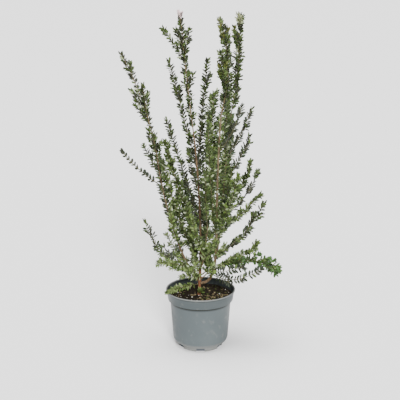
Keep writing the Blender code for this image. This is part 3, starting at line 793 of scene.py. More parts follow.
@dataclass
class Soil:
    """The potting soil: a rough bed with crumbs, bark chips, white bits and moss on it."""

    pot: Pot
    top: float = 0.147
    clearance: float = 0.0005
    off_ledge: float = 0.0003
    sides: int = 180
    rings: int = 42
    swell: float = 0.0022
    sunk: float = 0.0012
    settle: float = 0.0016
    settled_share: float = 0.82
    settle_width: float = 0.18
    # Each wave's level in the noise, its blobs per metre and its share of the swell
    waves: tuple[Point, ...] = ((0.3, 38.0, 0.55), (7.1, 170.0, 0.30), (3.7, 520.0, 0.16))
    lump_rough: float = 0.28
    lump_lean: float = 0.5
    lump_rise: float = 0.22
    first_seed: int = 40
    bed: Grit = Grit("soil", (0.010, 0.007, 0.004), (0.024, 0.017, 0.010), 190.0, 0.0008,
                     foot=(0.060, 0.068, 0.078))
    kinds: tuple[Crumbs, ...] = (
        Crumbs("soil_crumbs", Grit("crumb", (0.011, 0.008, 0.005), (0.030, 0.021, 0.013), 260.0), 620,
               0.0012, 0.0044, 0.65),
        Crumbs("bark_chips", Grit("chip", (0.110, 0.082, 0.042), (0.260, 0.210, 0.122), 240.0, 0.0003, 0.85),
               150, 0.0020, 0.0080, 0.30, 1.8, 0.66),
        Crumbs("white_bits", Grit("white_bit", (0.56, 0.54, 0.48), (0.34, 0.31, 0.25), 420.0, 0.0003, 0.8),
               24, 0.0012, 0.0048, 0.75, 1.0, -0.4),
        Crumbs("moss", Grit("moss", (0.050, 0.075, 0.018), (0.115, 0.135, 0.040), 520.0, 0.0010),
               120, 0.0018, 0.0054, 0.35, 1.2, 0.4),
    )

    @property
    def radius(self) -> float:
        """Return the bed's radius."""
        return self.pot.band_radius(self.top) - self.pot.wall - self.clearance

    def lift(self, x: float, y: float) -> float:
        """Return the height of the bed at a place.

        Args:
            x: the place's X.
            y: the place's Y.

        Returns:
            The height.
        """
        wave = sum(share * noise.noise(Vector((x, y, level)) * scale) for level, scale, share in self.waves)
        past = max(0.0, math.hypot(x, y) / self.radius - self.settled_share)
        return self.top - self.sunk + self.swell * wave - self.settle * past / self.settle_width

    def build_bed(self) -> None:
        """Build and dress the bed, a solid that fills the pot."""
        pot, inset = self.pot, self.pot.wall + self.clearance
        shoulder, foot = pot.band_foot + pot.wall + self.off_ledge, pot.floor + self.off_ledge
        profile = [(float(radius), self.top) for radius in np.linspace(0.0, self.radius, self.rings)]
        profile += [
            (pot.band_foot_radius - inset, shoulder),
            (pot.body_top_radius - inset, shoulder),
            (pot.body_foot_radius - inset, pot.round_top),
            (pot.ring_radius - inset, pot.ring_height),
            (pot.ring_radius - inset, foot),
            (0.0, foot),
        ]
        mesh = turned("soil_bed", profile, self.sides)
        for corner in mesh.vertices:
            if corner.co.z > self.top - TINY:
                corner.co.z = self.lift(corner.co.x, corner.co.y)
        show("soil_bed", mesh, self.bed.material(), ["soil"])

    def lumps(self, kind: Crumbs, seeds: random.Random) -> Heap:
        """Scatter one kind of bit over the bed.

        Args:
            kind: the kind.
            seeds: the source of chance.

        Returns:
            The heap of bits.
        """
        heap = Heap(kind.name)
        ball = bmesh.new()
        bmesh.ops.create_icosphere(ball, subdivisions=1, radius=0.5)
        corners = np.array([vertex.co[:] for vertex in ball.verts])
        faces = [tuple(vertex.index for vertex in face.verts) for face in ball.faces]
        ball.free()
        for _ in range(kind.count):
            reach = (self.radius - kind.largest) * math.sqrt(seeds.random())
            bearing = seeds.uniform(0.0, math.tau)
            x, y = reach * math.cos(bearing), reach * math.sin(bearing)
            if kind.side and seeds.random() < abs(kind.side):
                x, y = math.copysign(abs(x), kind.side), -abs(y)
            size = seeds.uniform(kind.smallest, kind.largest)
            rough = [1.0 + seeds.uniform(-self.lump_rough, self.lump_rough) for _ in corners]
            scale = np.array([size * kind.length, size, size * kind.flatness])
            lean, tilt = [Matrix.Rotation(seeds.uniform(-self.lump_lean, self.lump_lean), 3, axis)
                          for axis in "XY"]
            turn = np.array(Matrix.Rotation(seeds.uniform(0.0, math.tau), 3, "Z") @ (lean @ tilt))
            place = np.array([x, y, self.lift(x, y) + self.lump_rise * size * kind.flatness])
            heap.add((corners * np.array(rough)[:, None] * scale) @ turn.T + place, faces)
        return heap

    def build(self) -> None:
        """Build and dress the bed and the bits on it."""
        self.build_bed()
        for seed, kind in enumerate(self.kinds, self.first_seed):
            heap = self.lumps(kind, random.Random(seed))
            show(kind.name, heap.mesh(kind.name == "moss"), kind.finish.material(), ["soil"])


# Limbs

# Points on a Bezier arc that is measured, and the fewest points of a limb
ARC_POINTS, FEWEST_POINTS = 97, 3
# How far an arc's inner corners lie towards its bend
TOWARDS_BEND = 2.0 / 3.0
# How much of its own radius a limb starts inside its parent's bark, or its tip stands out
SUNK = POINTED = 0.6


@dataclass
class Limb:
    """A tapering limb: a run of points and the radius at each of them."""

    points: list[Vector]
    radii: list[float]
    distances: list[float] = field(init=False)

    def __post_init__(self) -> None:
        """Work out the distance along the limb at each point."""
        self.distances = [0.0]
        for first, second in zip(self.points, self.points[1:]):
            self.distances.append(self.distances[-1] + (second - first).length)

    @property
    def length(self) -> float:
        """Return the limb's length."""
        return self.distances[-1]

    def chord(self, distance: float) -> tuple[int, float]:
        """Find the chord that holds a distance.

        Args:
            distance: the distance along the limb.

        Returns:
            The chord's number and the share along it.
        """
        last = len(self.points) - 2
        number = min(last, max(0, int(np.searchsorted(self.distances, distance)) - 1))
        span = self.distances[number + 1] - self.distances[number]
        return number, (distance - self.distances[number]) / span

    def at(self, distance: float) -> tuple[Vector, Vector]:
        """Return the place and the direction at a distance.

        Args:
            distance: the distance along the limb.

        Returns:
            The place and the direction.
        """
        number, share = self.chord(distance)
        first, second = self.points[number], self.points[number + 1]
        return first.lerp(second, share), (second - first).normalized()

    def radius_at(self, distance: float) -> float:
        """Return the radius at a distance along the limb."""
        number, share = self.chord(distance)
        return self.radii[number] + (self.radii[number + 1] - self.radii[number]) * share

    def distance_at_height(self, height: float) -> float:
        """Return how far along the limb it first reaches a height.

        Args:
            height: the height.

        Returns:
            The distance.
        """
        for number, (first, second) in enumerate(zip(self.points, self.points[1:])):
            if first.z <= height <= second.z:
                share = (height - first.z) / (second.z - first.z)
                return self.distances[number] + share * (self.distances[number + 1] - self.distances[number])
        return self.length


def arc(corners: Sequence[Vector | Point], step: float, radius: float, tip_radius: float,
        end: float = 0.0) -> Limb:
    """Make a limb along one Bezier arc.

    Args:
        corners: the arc's four corners.
        step: the spacing of the limb's points.
        radius: the radius at its start.
        tip_radius: the radius at its tip.
        end: how far it stops short of the last corner.

    Returns:
        The limb.
    """
    fine = interpolate_bezier(*corners, ARC_POINTS)
    whole = Limb(fine, [radius] * len(fine))
    length = whole.length - end
    count = max(FEWEST_POINTS, round(length / step) + 1)
    shares = [number / (count - 1) for number in range(count)]
    points = [whole.at(length * share)[0] for share in shares]
    return Limb(points, [radius + (tip_radius - radius) * share for share in shares])


def soft_corners(start: Vector, bend: Vector, tip: Vector) -> tuple[Vector, ...]:
    """Return the four corners of the arc from a start to a tip that bends once on its way."""
    return start, start.lerp(bend, TOWARDS_BEND), tip.lerp(bend, TOWARDS_BEND), tip


def beside(parent: Limb, height: float, toward: Vector | Point, radius: float) -> Vector:
    """Return where a limb leaves its parent's bark.

    Args:
        parent: the limb that bears it.
        height: the height at which it leaves.
        toward: the point that it sets out for.
        radius: its own radius.

    Returns:
        The place.
    """
    distance = parent.distance_at_height(height)
    centre, along = parent.at(distance)
    direction = (Vector(toward) - centre).normalized()
    side = (direction - along * direction.dot(along)).normalized()
    return centre + side * (parent.radius_at(distance) - SUNK * radius)


def rings(limb: Limb, sides: int,
          swell: Callable[[float, float], float] | None = None) -> tuple[np.ndarray, list]:
    """Sweep a limb as a tube with a closed tip.

    Args:
        limb: the limb.
        sides: faces round the tube.
        swell: a factor on the radius by distance and angle.

    Returns:
        The corners and the faces.
    """
    corners, faces = [], []
    across = limb.at(0.0)[1].orthogonal().normalized()
    for number, (place, radius) in enumerate(zip(limb.points, limb.radii)):
        before = limb.points[max(0, number - 1)]
        after = limb.points[min(len(limb.points) - 1, number + 1)]
        along = (after - before).normalized()
        across = (across - along * across.dot(along)).normalized()
        other = along.cross(across)
        for side in range(sides):
            angle = math.tau * side / sides
            reach = radius * (swell(limb.distances[number], angle) if swell else 1.0)
            corners.append(place + across * math.cos(angle) * reach + other * math.sin(angle) * reach)
        if number:
            base = (number - 1) * sides
            for side in range(sides):
                onward = (side + 1) % sides
                faces.append((base + side, base + onward, base + sides + onward, base + sides + side))
    corners.append(limb.points[-1] + along * limb.radii[-1] * POINTED)
    tip, base = len(corners) - 1, (len(limb.points) - 1) * sides
    faces += [(base + side, base + (side + 1) % sides, tip) for side in range(sides)]
    return np.array([corner[:] for corner in corners]), faces


@dataclass(frozen=True)
class Bough:
    """A bough: it leaves its parent at a height and runs along one Bezier arc."""

    name: str
    parent: str
    height: float
    leave: Point
    arrive: Point
    tip: Point
    radius: float
    tip_radius: float = 0.0015


def metres(place: Point) -> Vector:
    """Return a place in metres that is given in millimetres."""
    return Vector([part / MILLIMETRES for part in place])


@dataclass(frozen=True)
class Shoot:
    """A leafy shoot of one mass of foliage, in millimetres.

    It leaves its parent at a height, or carries on from its parent's tip where the
    height is None. A fork is a share of the shoot's length and the tip it reaches.
    """

    name: str
    parent: str
    height: float | None
    bend: Point
    tip: Point
    spray: str = "mid"
    forks: tuple[tuple[float, Point], ...] = ()


BOUGHS = (
    Bough("bough_left", "trunk", 0.186, (-0.046, -0.004, 0.225), (-0.098, -0.026, 0.400),
          (-0.114, -0.034, 0.540), 0.0030, 0.0018),
    Bough("bough_right", "trunk", 0.179, (0.065, -0.012, 0.186), (0.029, -0.055, 0.316),
          (0.053, -0.060, 0.660), 0.0042, 0.0020),
    Bough("bough_right_back", "bough_right", 0.252, (0.060, 0.015, 0.320), (0.060, 0.045, 0.450),
          (0.083, 0.060, 0.640), 0.0025),
    Bough("bough_back", "trunk", 0.201, (0.004, 0.045, 0.235), (0.012, 0.085, 0.360),
          (0.016, 0.100, 0.480), 0.0024),
    Bough("bough_front", "trunk", 0.222, (0.006, -0.040, 0.246), (0.014, -0.080, 0.300),
          (0.018, -0.092, 0.370), 0.0022),
)

SHOOTS = (
    Shoot("leader", "trunk", None, (-39, 21, 755), (-53, 20, 912), "leader", ((0.60, (-103, 5, 877)),
          (0.64, (-27, 35, 876)), (0.36, (-16, 35, 762)), (0.70, (-67, 0, 876)))),
    Shoot("left_top", "bough_left", None, (-136, -44, 688), (-206, -50, 820), "loose",
          ((0.40, (-147, -70, 744)), (0.36, (-184, -22, 722)), (0.76, (-179, -60, 799)),
          (0.32, (-174, -55, 688)), (0.42, (-133, -30, 718)))),
    Shoot("right_top", "bough_right", None, (89, -58, 785), (46, -40, 904), "crest",
          ((0.42, (43, -70, 824)), (0.70, (73, -45, 867)), (0.25, (47, -62, 781)), (0.22, (59, -72, 762)))),
    Shoot("right_back_top", "bough_right_back", None, (109, 69, 775), (104, 65, 913), "crest",
          ((0.60, (91, 50, 866)), (0.90, (111, 62, 910)))),
    Shoot("back_top", "bough_back", None, (12, 134, 583), (32, 150, 689), "grey"),
    Shoot("front_top", "bough_front", None, (10, -119, 451), (14, -140, 535), "edge"),
    Shoot("mid_left", "trunk", 500, (-48, 47, 646), (-87, 60, 794), "slim", ((0.63, (-52, 60, 722)),)),
    Shoot("mid_back", "trunk", 470, (0, 65, 626), (20, 75, 792), "slim", ((0.74, (31, 90, 751)),)),
    Shoot("left_back_long", "trunk", 350, (-48, 58, 487), (-97, 80, 634), "slim"),
    Shoot("left_front_long", "trunk", 300, (-60, -54, 443), (-92, -90, 602)),
    Shoot("left_bright", "trunk", 236, (-71, -43, 382), (-100, -70, 549)),
    Shoot("right_inner", "bough_right", 480, (23, -35, 600), (36, -20, 718)),
    Shoot("centre_front", "bough_right", 320, (23, -106, 473), (19, -95, 647), "edge"),
    Shoot("right_low", "bough_right", 268, (134, -4, 315), (173, -20, 420), "fan",
          ((0.58, (143, -40, 398)),)),
    Shoot("right_low_back", "bough_right_back", 330, (120, 56, 361), (173, 60, 426), "edge"),
    Shoot("right_wing_back", "bough_right_back", 370, (133, 104, 377), (164, 110, 481), "blue"),
    Shoot("right_wing_front", "bough_right", 400, (113, -85, 455), (133, -70, 549), "dark"),
    Shoot("right_fan_back", "bough_right_back", 460, (112, 108, 498), (139, 125, 579), "blue",
          ((0.60, (143, 100, 562)),)),
    Shoot("right_fan", "bough_right_back", 520, (116, 51, 587), (140, 50, 667), "blue"),
    Shoot("right_fan_front", "bough_right", 560, (93, -72, 620), (107, -70, 691), "blue"),
    Shoot("right_inner_low", "bough_right", 350, (79, -107, 417), (98, -110, 518), "bright"),
    Shoot("left_thin", "bough_left", 462, (-168, -15, 498), (-214, -20, 562), "thin"),
    Shoot("left_short", "bough_left", 500, (-135, -1, 528), (-156, 10, 573), "slim"),
    Shoot("low_left", "trunk", 212, (-116, -42, 246), (-152, -30, 374), "lean", ((0.35, (-105, -10, 298)),)),
    Shoot("low_left_front", "trunk", 226, (-52, -58, 250), (-121, -85, 269), "soft"),
    Shoot("low_left_back", "trunk", 228, (-56, 43, 251), (-121, 70, 237), "soft"),
    Shoot("pot_left", "trunk", 176, (-47, -29, 181), (-98, -57, 169), "pale"),
    Shoot("low_right", "bough_right", 222, (123, -33, 288), (221, -45, 224), "fresh",
          ((0.80, (209, -30, 207)), (0.30, (126, -50, 231)))),
    Shoot("low_right_up", "bough_right", 238, (113, 14, 236), (168, 30, 294), "bright"),
    Shoot("low_right_thin", "bough_right", 210, (94, -65, 188), (169, -75, 251), "hanging",
          ((0.55, (120, -70, 211)),)),
    Shoot("fill_right_high", "bough_right_back", 420, (83, 114, 513), (85, 120, 638)),
    Shoot("fill_right_back", "bough_right_back", 300, (69, 107, 393), (70, 150, 524)),
    Shoot("fill_right_top", "bough_right_back", 560, (70, 42, 633), (67, 20, 706)),
    Shoot("fill_right_low", "bough_right", 300, (75, 5, 398), (82, 10, 502)),
    Shoot("fill_back_high", "bough_back", 330, (39, 121, 437), (44, 175, 549)),
    Shoot("fill_centre", "trunk", 400, (7, 33, 472), (4, 60, 542), "grey"),
    Shoot("fill_back_mid", "bough_back", 270, (18, 115, 298), (10, 140, 365), "soft"),
    Shoot("fill_front_left", "bough_front", 290, (-14, -121, 336), (-22, -135, 411), "trim"),
    Shoot("fill_front_low", "bough_front", 255, (23, -91, 291), (40, -120, 345), "soft"),
    Shoot("fill_back_left", "bough_back", 300, (-28, 127, 352), (-50, 150, 443)),
    Shoot("fill_left_front", "bough_left", 300, (-77, -66, 349), (-80, -80, 423), "trim"),
    Shoot("fill_left_mid", "bough_left", 350, (-69, 35, 371), (-62, 40, 429), "trim"),
    Shoot("fill_trunk_left", "trunk", 260, (-36, -34, 327), (-31, -48, 413), "trim"),
    Shoot("fill_left_low", "bough_left", 250, (-79, 24, 276), (-100, 60, 308), "grey"),
    Shoot("back_low", "bough_back", 240, (23, 102, 222), (51, 150, 257), "bright"),
    Shoot("leader_side", "trunk", 440, (-26, -8, 501), (-34, -30, 559), "slim"),
)


@dataclass(frozen=True)
class Sprig:
    """A small spray that no solid of its own stands for, in millimetres."""

    start: Point
    bend: Point
    tip: Point
    spray: str


SPRIGS = (
    Sprig((-52, 20, 888), (-56, 20, 902), (-57, 20, 913), "blush"),
    Sprig((-52, 20, 888), (-52, 20, 902), (-49, 20, 910), "blush"),
    Sprig((-4, -6, 148), (-3, -14, 158), (-3, -18, 168), "sprout"),
    Sprig((-3, -5, 150), (3, -12, 158), (7, -16, 165), "dark"),
    Sprig((51.5, -44, 878), (49, -45, 890), (46, -45, 896), "sage"),
    Sprig((99, 54, 880), (99.5, 53, 892), (97.5, 53, 906), "sage"),
    Sprig((100, 54, 876), (103.5, 53, 886), (105, 53, 899), "sage"),
    Sprig((59.2, -45, 839.9), (53.9, -50, 860), (48.8, -50, 875), "olive"),
    Sprig((59.2, -45, 839.9), (64, -38, 852), (69, -35, 872), "olive"),
    Sprig((54.6, -55, 740.3), (49.2, -60, 766), (46.6, -60, 786), "olive"),
    Sprig((54.6, -55, 740.3), (59.3, -60, 771), (64.3, -60, 786), "olive"),
    Sprig((99, 60, 830), (91, 60, 852), (89, 55, 872), "olive"),
    Sprig((0, -4, 215), (-20, -20, 222), (-61.4, -30, 229), "soft"),
    Sprig((-2, -4, 200), (-22, -18, 208), (-56, -34, 208), "soft"),
    Sprig((0, -4, 235), (-10, -22, 245), (-25.6, -50, 290), "soft"),
    Sprig((5, -18, 236), (10, -34, 250), (17, -50, 290), "trim"),
    Sprig((36, -20, 225), (30, -34, 240), (24, -42, 272), "dark"),
    Sprig((37, -20, 228), (56, -30, 236), (96.3, -30, 268), "soft"),
    Sprig((35, -16, 218), (64, -45, 224), (115, -60, 246), "hanging"),
    Sprig((40.5, -28, 265), (52, -50, 275), (64, -62, 310), "soft"),
    Sprig((40, -27, 258), (50, -10, 262), (76, 0, 285), "dark"),
    Sprig((136, -34, 260), (146, -36, 270), (158, -38, 274), "fresh"),
    Sprig((156, -36, 258), (170, -40, 262), (184, -45, 264), "fresh"),
    Sprig((170, -38, 254), (186, -36, 256), (199, -34, 256), "fresh"),
    Sprig((185, -40, 248), (200, -44, 246), (212, -45, 242), "fresh"),
    Sprig((165, -38, 254), (178, -50, 246), (188, -56, 237), "fresh"),
    Sprig((185, -40, 246), (196, -50, 238), (205, -55, 228), "fresh"),
    Sprig((-2, -4, 196), (-5, -14, 202), (-6, -20, 210), "grey"),
    Sprig((-2, -4, 196), (-16, -16, 200), (-34, -28, 212), "grey"),
    Sprig((-1, -4, 222), (-10, -24, 236), (-18, -36, 262), "grey"),
    Sprig((8, -4, 246), (14, -20, 262), (14, -30, 288), "trim"),
    Sprig((-10, -6, 208), (-30, -26, 222), (-52, -40, 244), "grey"),
    Sprig((-16, -6, 214), (-40, -40, 236), (-78, -50, 254), "grey"),
    Sprig((36, -20, 224), (28, -32, 232), (21, -38, 252), "soft"),
    Sprig((38, -22, 240), (28, -34, 252), (18, -42, 268), "grey"),
    Sprig((2, -4, 240), (12, -22, 252), (18, -34, 276), "grey"),
    Sprig((30, -14, 204), (34, -30, 216), (33, -40, 246), "soft"),
    Sprig((2, -2, 250), (12, -10, 244), (22, -20, 262), "soft"),
    Sprig((40, -16, 236), (26, -14, 238), (15, -10, 262), "grey"),
    Sprig((30, -12, 200), (20, -18, 215), (9, -24, 232), "trim"),
    Sprig((32, -14, 206), (26, -22, 228), (14, -26, 246), "trim"),
    Sprig((38.5, -26, 258), (30, -40, 276), (25, -44, 304), "soft"),
    Sprig((49, -56, 560), (68, -40, 610), (71, -35, 690), "edge"),
    Sprig((45, -56, 500), (70, -40, 550), (79, -35, 640), "edge"),
    Sprig((42, -54, 440), (62, -40, 480), (67, -35, 570), "edge"),
    Sprig((-113.5, -34, 535), (-116, -30, 560), (-121, -28, 592), "edge"),
    Sprig((-116, -36, 552), (-127, -42, 575), (-135, -44, 614), "slim"),
    Sprig((-112, -33, 520), (-106, -30, 545), (-108, -28, 574), "edge"),
)

# Short bare stems beside the lowest fork: where each starts, bends and ends, in millimetres
STUBS: tuple[tuple[Point, Point, Point], ...] = (
    ((0, -3, 191.6), (15.1, -14, 205.4), (30.1, -20, 229.2)),
    ((1.5, -3, 203.3), (16.5, -14, 215.5), (34.1, -20, 240.7)),
)


@dataclass(frozen=True)
class Habit:
    """How one kind of spray grows: its leaf colours, its pairs of leaves and its side twigs.

    The leaves on a twig's underside have the size `under` against the others, and a shoot
    bears no leaves on its first stretch, `bare`.
    """

    deal: tuple[tuple[Green, int], ...]
    young: Green
    size: float = 1.0
    step: float = 0.0058
    rise: float = math.radians(50.0)
    twig_every: float = 0.020
    twig_length: float = 0.046
    twig_rise: float = math.radians(34.0)
    young_reach: float = 0.030
    young_colour: float = 0.012
    pair_angle: float = math.radians(90.0)
    first_angle: float = math.radians(45.0)
    twists: Pair = (math.radians(38.0), math.radians(75.0))
    breadth: float = 1.0
    under: float = 1.0
    bare: float = 0.014


def deal(**shares: int) -> tuple[tuple[Green, int], ...]:
    """Return leaf colours with their shares."""
    return tuple((Green[name], share) for name, share in shares.items())


# A spacing of side twigs that leaves a shoot without any
TWIGLESS = 1.0
# Flat sprays: their leaves stand in one plane or near it, and turn on their stalks to show their faces
PLANE = {"first_angle": 0.0, "twists": (math.radians(60.0), math.radians(86.0))}
FLAT = {**PLANE, "pair_angle": math.radians(20.0)}
FLATTEST = {**PLANE, "pair_angle": 0.0}

HABITS: dict[str, Habit] = {
    "leader": Habit(deal(DUSK=6, DARK=4, MID=2, SILVER=1), Green.MID, 1.00, 0.0050, twig_every=0.020,
                    twig_length=0.022, young_reach=0.014),
    "slim": Habit(deal(DUSK=6, DARK=5, MID=2), Green.MID, 0.98, 0.0042, twig_every=0.030,
                  twig_length=0.020, young_reach=0.018),
    "loose": Habit(deal(DUSK=6, DARK=5, MID=2, SILVER=1), Green.MID, 0.94, 0.0050, twig_every=0.050,
                   twig_length=0.018),
    "thin": Habit(deal(DUSK=4, DEEP=8), Green.DEEP, 0.92, 0.0112, math.radians(42.0), TWIGLESS,
                  young_reach=0.026, breadth=1.50, under=0.70, bare=0.024, **FLATTEST),
    "crest": Habit(deal(DUSK=5, DARK=4, MID=4, SILVER=1), Green.MID, 0.94, 0.0037, twig_every=0.012,
                   twig_length=0.026, young_reach=0.016, young_colour=0.018),
    "sage": Habit(deal(SAGE=3, PALE=2, SILVER=1), Green.SAGE, 0.76, 0.0030, twig_every=TWIGLESS,
                  young_reach=0.014),
    "edge": Habit(deal(MID=6, DARK=6, BRIGHT=1, SILVER=2), Green.MID, 0.86, 0.0034, twig_every=0.015,
                  twig_length=0.026),
    "dark": Habit(deal(DARK=12, DEEP=6, MID=8, SILVER=3), Green.MID, 0.90, 0.0036, twig_every=0.015,
                  twig_length=0.032),
    "blue": Habit(deal(BLUE=2, DUSK=7, DEEP=4), Green.MID, 1.02, 0.0058, math.radians(40.0), 0.034, 0.024,
                  young_reach=0.016, young_colour=0.014, breadth=0.92, **FLAT),
    "lean": Habit(deal(DARK=3, DUSK=6, DEEP=5), Green.MID, 0.98, 0.0064, math.radians(46.0), 0.060, 0.024,
                  young_reach=0.016, breadth=0.90, **FLAT),
    "fan": Habit(deal(DARK=4, DUSK=5, DEEP=4, MID=3), Green.MID, 1.00, 0.0050, math.radians(46.0), 0.022,
                 young_reach=0.016, breadth=0.90, twig_length=0.030, **FLAT),
    "mid": Habit(deal(MID=6, DARK=6, BRIGHT=1, SILVER=2), Green.MID, 0.88, 0.0034, twig_every=0.015),
    "bright": Habit(deal(BRIGHT=4, MID=5, DARK=3, SILVER=2), Green.BRIGHT, 0.88, 0.0036, twig_every=0.016,
                    twig_length=0.042),
    "soft": Habit(deal(PALE=6, MID=3, DARK=2, BRIGHT=6, SILVER=3), Green.PALE, 0.88, 0.0038,
                  twig_every=0.017),
    "fresh": Habit(deal(GRASS=7, BRIGHT=1, MID=2, DARK=4), Green.GRASS, 0.94, 0.0048, twig_every=0.016,
                   twig_length=0.034, young_reach=0.014, breadth=1.35),
    "trim": Habit(deal(MID=5, BRIGHT=4, DARK=2, PALE=2, SILVER=1), Green.MID, 0.86, 0.0036,
                  twig_every=0.016, twig_length=0.020),
    "grey": Habit(deal(PALE=6, MID=3, DARK=2, BRIGHT=4, SILVER=3), Green.PALE, 0.88, 0.0042,
                  twig_every=0.040, twig_length=0.020, young_reach=0.014),
    "pale": Habit(deal(PALE=5, SAGE=1, BRIGHT=2, MID=4), Green.PALE, 1.00, 0.0044, twig_every=0.040,
                  twig_length=0.022),
    "sprout": Habit(deal(FRESH=2, PALE=2, BRIGHT=1), Green.FRESH, 0.66, 0.0046, twig_every=TWIGLESS),
    "hanging": Habit(deal(DUSK=3, DEEP=9, MID=1), Green.DEEP, 0.94, 0.0094, math.radians(58.0), 0.040,
                     0.024, young_reach=0.014, breadth=1.30, **FLATTEST),
    "olive": Habit(deal(OLIVE=6, MID=3, DARK=2), Green.OLIVE, 0.88, 0.0031, twig_every=0.011,
                   twig_length=0.018),
    "blush": Habit(deal(BLUSH=1), Green.BLUSH, 0.66, 0.0040, math.radians(20.0), TWIGLESS),
}

# The boughs that bear leaves themselves: above which height, and in which kind of spray
LEAFY_BOUGHS = (
    ("trunk", 0.300, "slim"),
    ("bough_left", 0.270, "slim"),
    ("bough_left", 0.400, "crest"),
    ("bough_right", 0.300, "mid"),
    ("bough_right_back", 0.320, "mid"),
    ("bough_back", 0.255, "mid"),
    ("bough_front", 0.260, "mid"),
)


@dataclass
class Wood:
    """The trunk and the boughs, with their bark relief."""

    soil_top: float = 0.147
    foot: Point = (-0.0053, -0.0025, 0.133)
    leave: Point = (0.004, 0.004, 0.260)
    arrive: Point = (0.002, 0.002, 0.420)
    tip: Point = (-0.019, 0.011, 0.600)
    radius: float = 0.0044
    tip_radius: float = 0.0018
    flare: float = 0.0010
    flare_fall: float = 0.009
    step: float = 0.0025
    sides: int = 18
    fewer_sides: int = 4
    ridge_turn: float = 1.9
    ridge_scale: float = 55.0
    knot_scale: float = 22.0
    knot_level: float = 4.0
    grain_ratio: float = 2.6
    grain_scale: float = 240.0
    relief_shares: Point = (0.13, 0.09, 0.07)
    seed_step: float = 5.0
    lobes: float = 4.0
    lobe_phase: float = 0.7
    lobe_share: float = 0.10
    lobe_fall: float = 0.016
    trunk_bark: Bark = Bark("trunk_bark", (0.062, 0.038, 0.020), (0.146, 0.094, 0.050), 0.85)
    bough_bark: Bark = Bark("bough_bark", (0.058, 0.042, 0.022), (0.140, 0.104, 0.060), 0.15)
    limbs: dict[str, Limb] = field(default_factory=dict)

    def trunk(self) -> Limb:
        """Return the trunk, flared at the soil."""
        limb = arc((self.foot, self.leave, self.arrive, self.tip), self.step, self.radius, self.tip_radius)
        limb.radii = [
            radius + self.flare * math.exp(-max(0.0, point.z - self.soil_top) / self.flare_fall)
            for point, radius in zip(limb.points, limb.radii)
        ]
        return limb

    def relief(self, number: int, distance: float, angle: float) -> float:
        """Return the bark's relief at one corner of the trunk or a bough.

        Args:
            number: its number, 0 for the trunk, which has root lobes at its foot.
            distance: the distance along it.
            angle: the angle round it.

        Returns:
            A factor on the radius.
        """
        seed, turn, shares = self.seed_step * number, self.ridge_turn, self.relief_shares
        bark = Vector((math.cos(angle) * turn, math.sin(angle) * turn, seed))
        ridges = noise.noise(bark + Vector((0.0, 0.0, distance * self.ridge_scale)))
        knots = noise.noise(Vector((seed, self.knot_level, distance * self.knot_scale)))
        grain = noise.noise(bark * self.grain_ratio + Vector((0.0, 0.0, distance * self.grain_scale)))
        factor = 1.0 + shares[0] * ridges + shares[1] * knots + shares[2] * grain
        if not number:
            lobes = self.lobe_share * math.cos(self.lobes * angle + self.lobe_phase)
            factor += lobes * math.exp(-distance / self.lobe_fall)
        return factor

    def dress(self, name: str, limb: Limb, number: int, finish: Material) -> None:
        """Dress the trunk or a bough, and keep its limb for the shoots.

        Args:
            name: its name.
            limb: the limb.
            number: its number, 0 for the trunk.
            finish: its bark.
        """
        self.limbs[name] = limb
        sides = self.sides - (self.fewer_sides if number else 0)
        heap = Heap(name + "_bark")
        heap.add(*rings(limb, sides, partial(self.relief, number)))
        show(heap.name, heap.mesh(), finish, [name])

    def build(self) -> None:
        """Build and dress the trunk and the boughs."""
        self.dress("trunk", self.trunk(), 0, self.trunk_bark.material())
        finish = self.bough_bark.material()
        for number, bough in enumerate(BOUGHS, 1):
            start = beside(self.limbs[bough.parent], bough.height, bough.leave, bough.radius)
            run = (start, bough.leave, bough.arrive, bough.tip)
            self.dress(bough.name, arc(run, self.step, bough.radius, bough.tip_radius), number, finish)


# Foliage

@dataclass(frozen=True)
class LeafShape:
    """A leaf's outline, fold and curve. It grows along +Z from the origin and faces +Y."""

    length: float = 0.0148
    width: float = 0.0058
    stations: Profile = field(default_factory=lambda: [
        (0.00, 0.14), (0.20, 0.76), (0.50, 1.00), (0.82, 0.76), (1.00, 0.0),
    ])
    fold: float = 0.24
    curl: float = 0.12

    def corners(self) -> np.ndarray:
        """Return the corners of a leaf one metre long and one metre wide."""
        rows = []
        for along, width in self.stations[:-1]:
            bow, half = -self.curl * along * along, width / 2
            raised = bow + self.fold * half
            rows += [(-half, raised, along), (0.0, bow, along), (half, raised, along)]
        return np.array([*rows, (0.0, -self.curl, 1.0)])

    def faces(self) -> list[tuple[int, ...]]:
        """Return the faces as numbers of corners."""
        faces: list[tuple[int, ...]] = []
        last = 3 * (len(self.stations) - 2)
        for row in range(0, last, 3):
            faces += [(row, row + 1, row + 4, row + 3), (row + 1, row + 2, row + 5, row + 4)]
        return faces + [(last, last + 1, last + 3), (last + 1, last + 2, last + 3)]

    def places(self) -> np.ndarray:
        """Return each corner's place on the leaf, across and along, from 0 to 1."""
        rows = [
            (0.5 + side * width / 2, along) for along, width in self.stations[:-1] for side in (-1, 0, 1)
        ]
        return np.array([*rows, (0.5, 1.0)])


@dataclass(frozen=True)
class Spray:
    """A run of growth: its habit and its source of chance."""

    habit: Habit
    seeds: random.Random
    young_share: float = 0.55

    def pick(self, tip: bool) -> Green:
        """Deal out a leaf colour.

        Args:
            tip: whether the leaf is at a twig's tip.

        Returns:
            The colour.
        """
        if tip and self.seeds.random() < self.young_share:
            return self.habit.young
        greens, shares = zip(*self.habit.deal)
        return self.seeds.choices(greens, shares)[0]


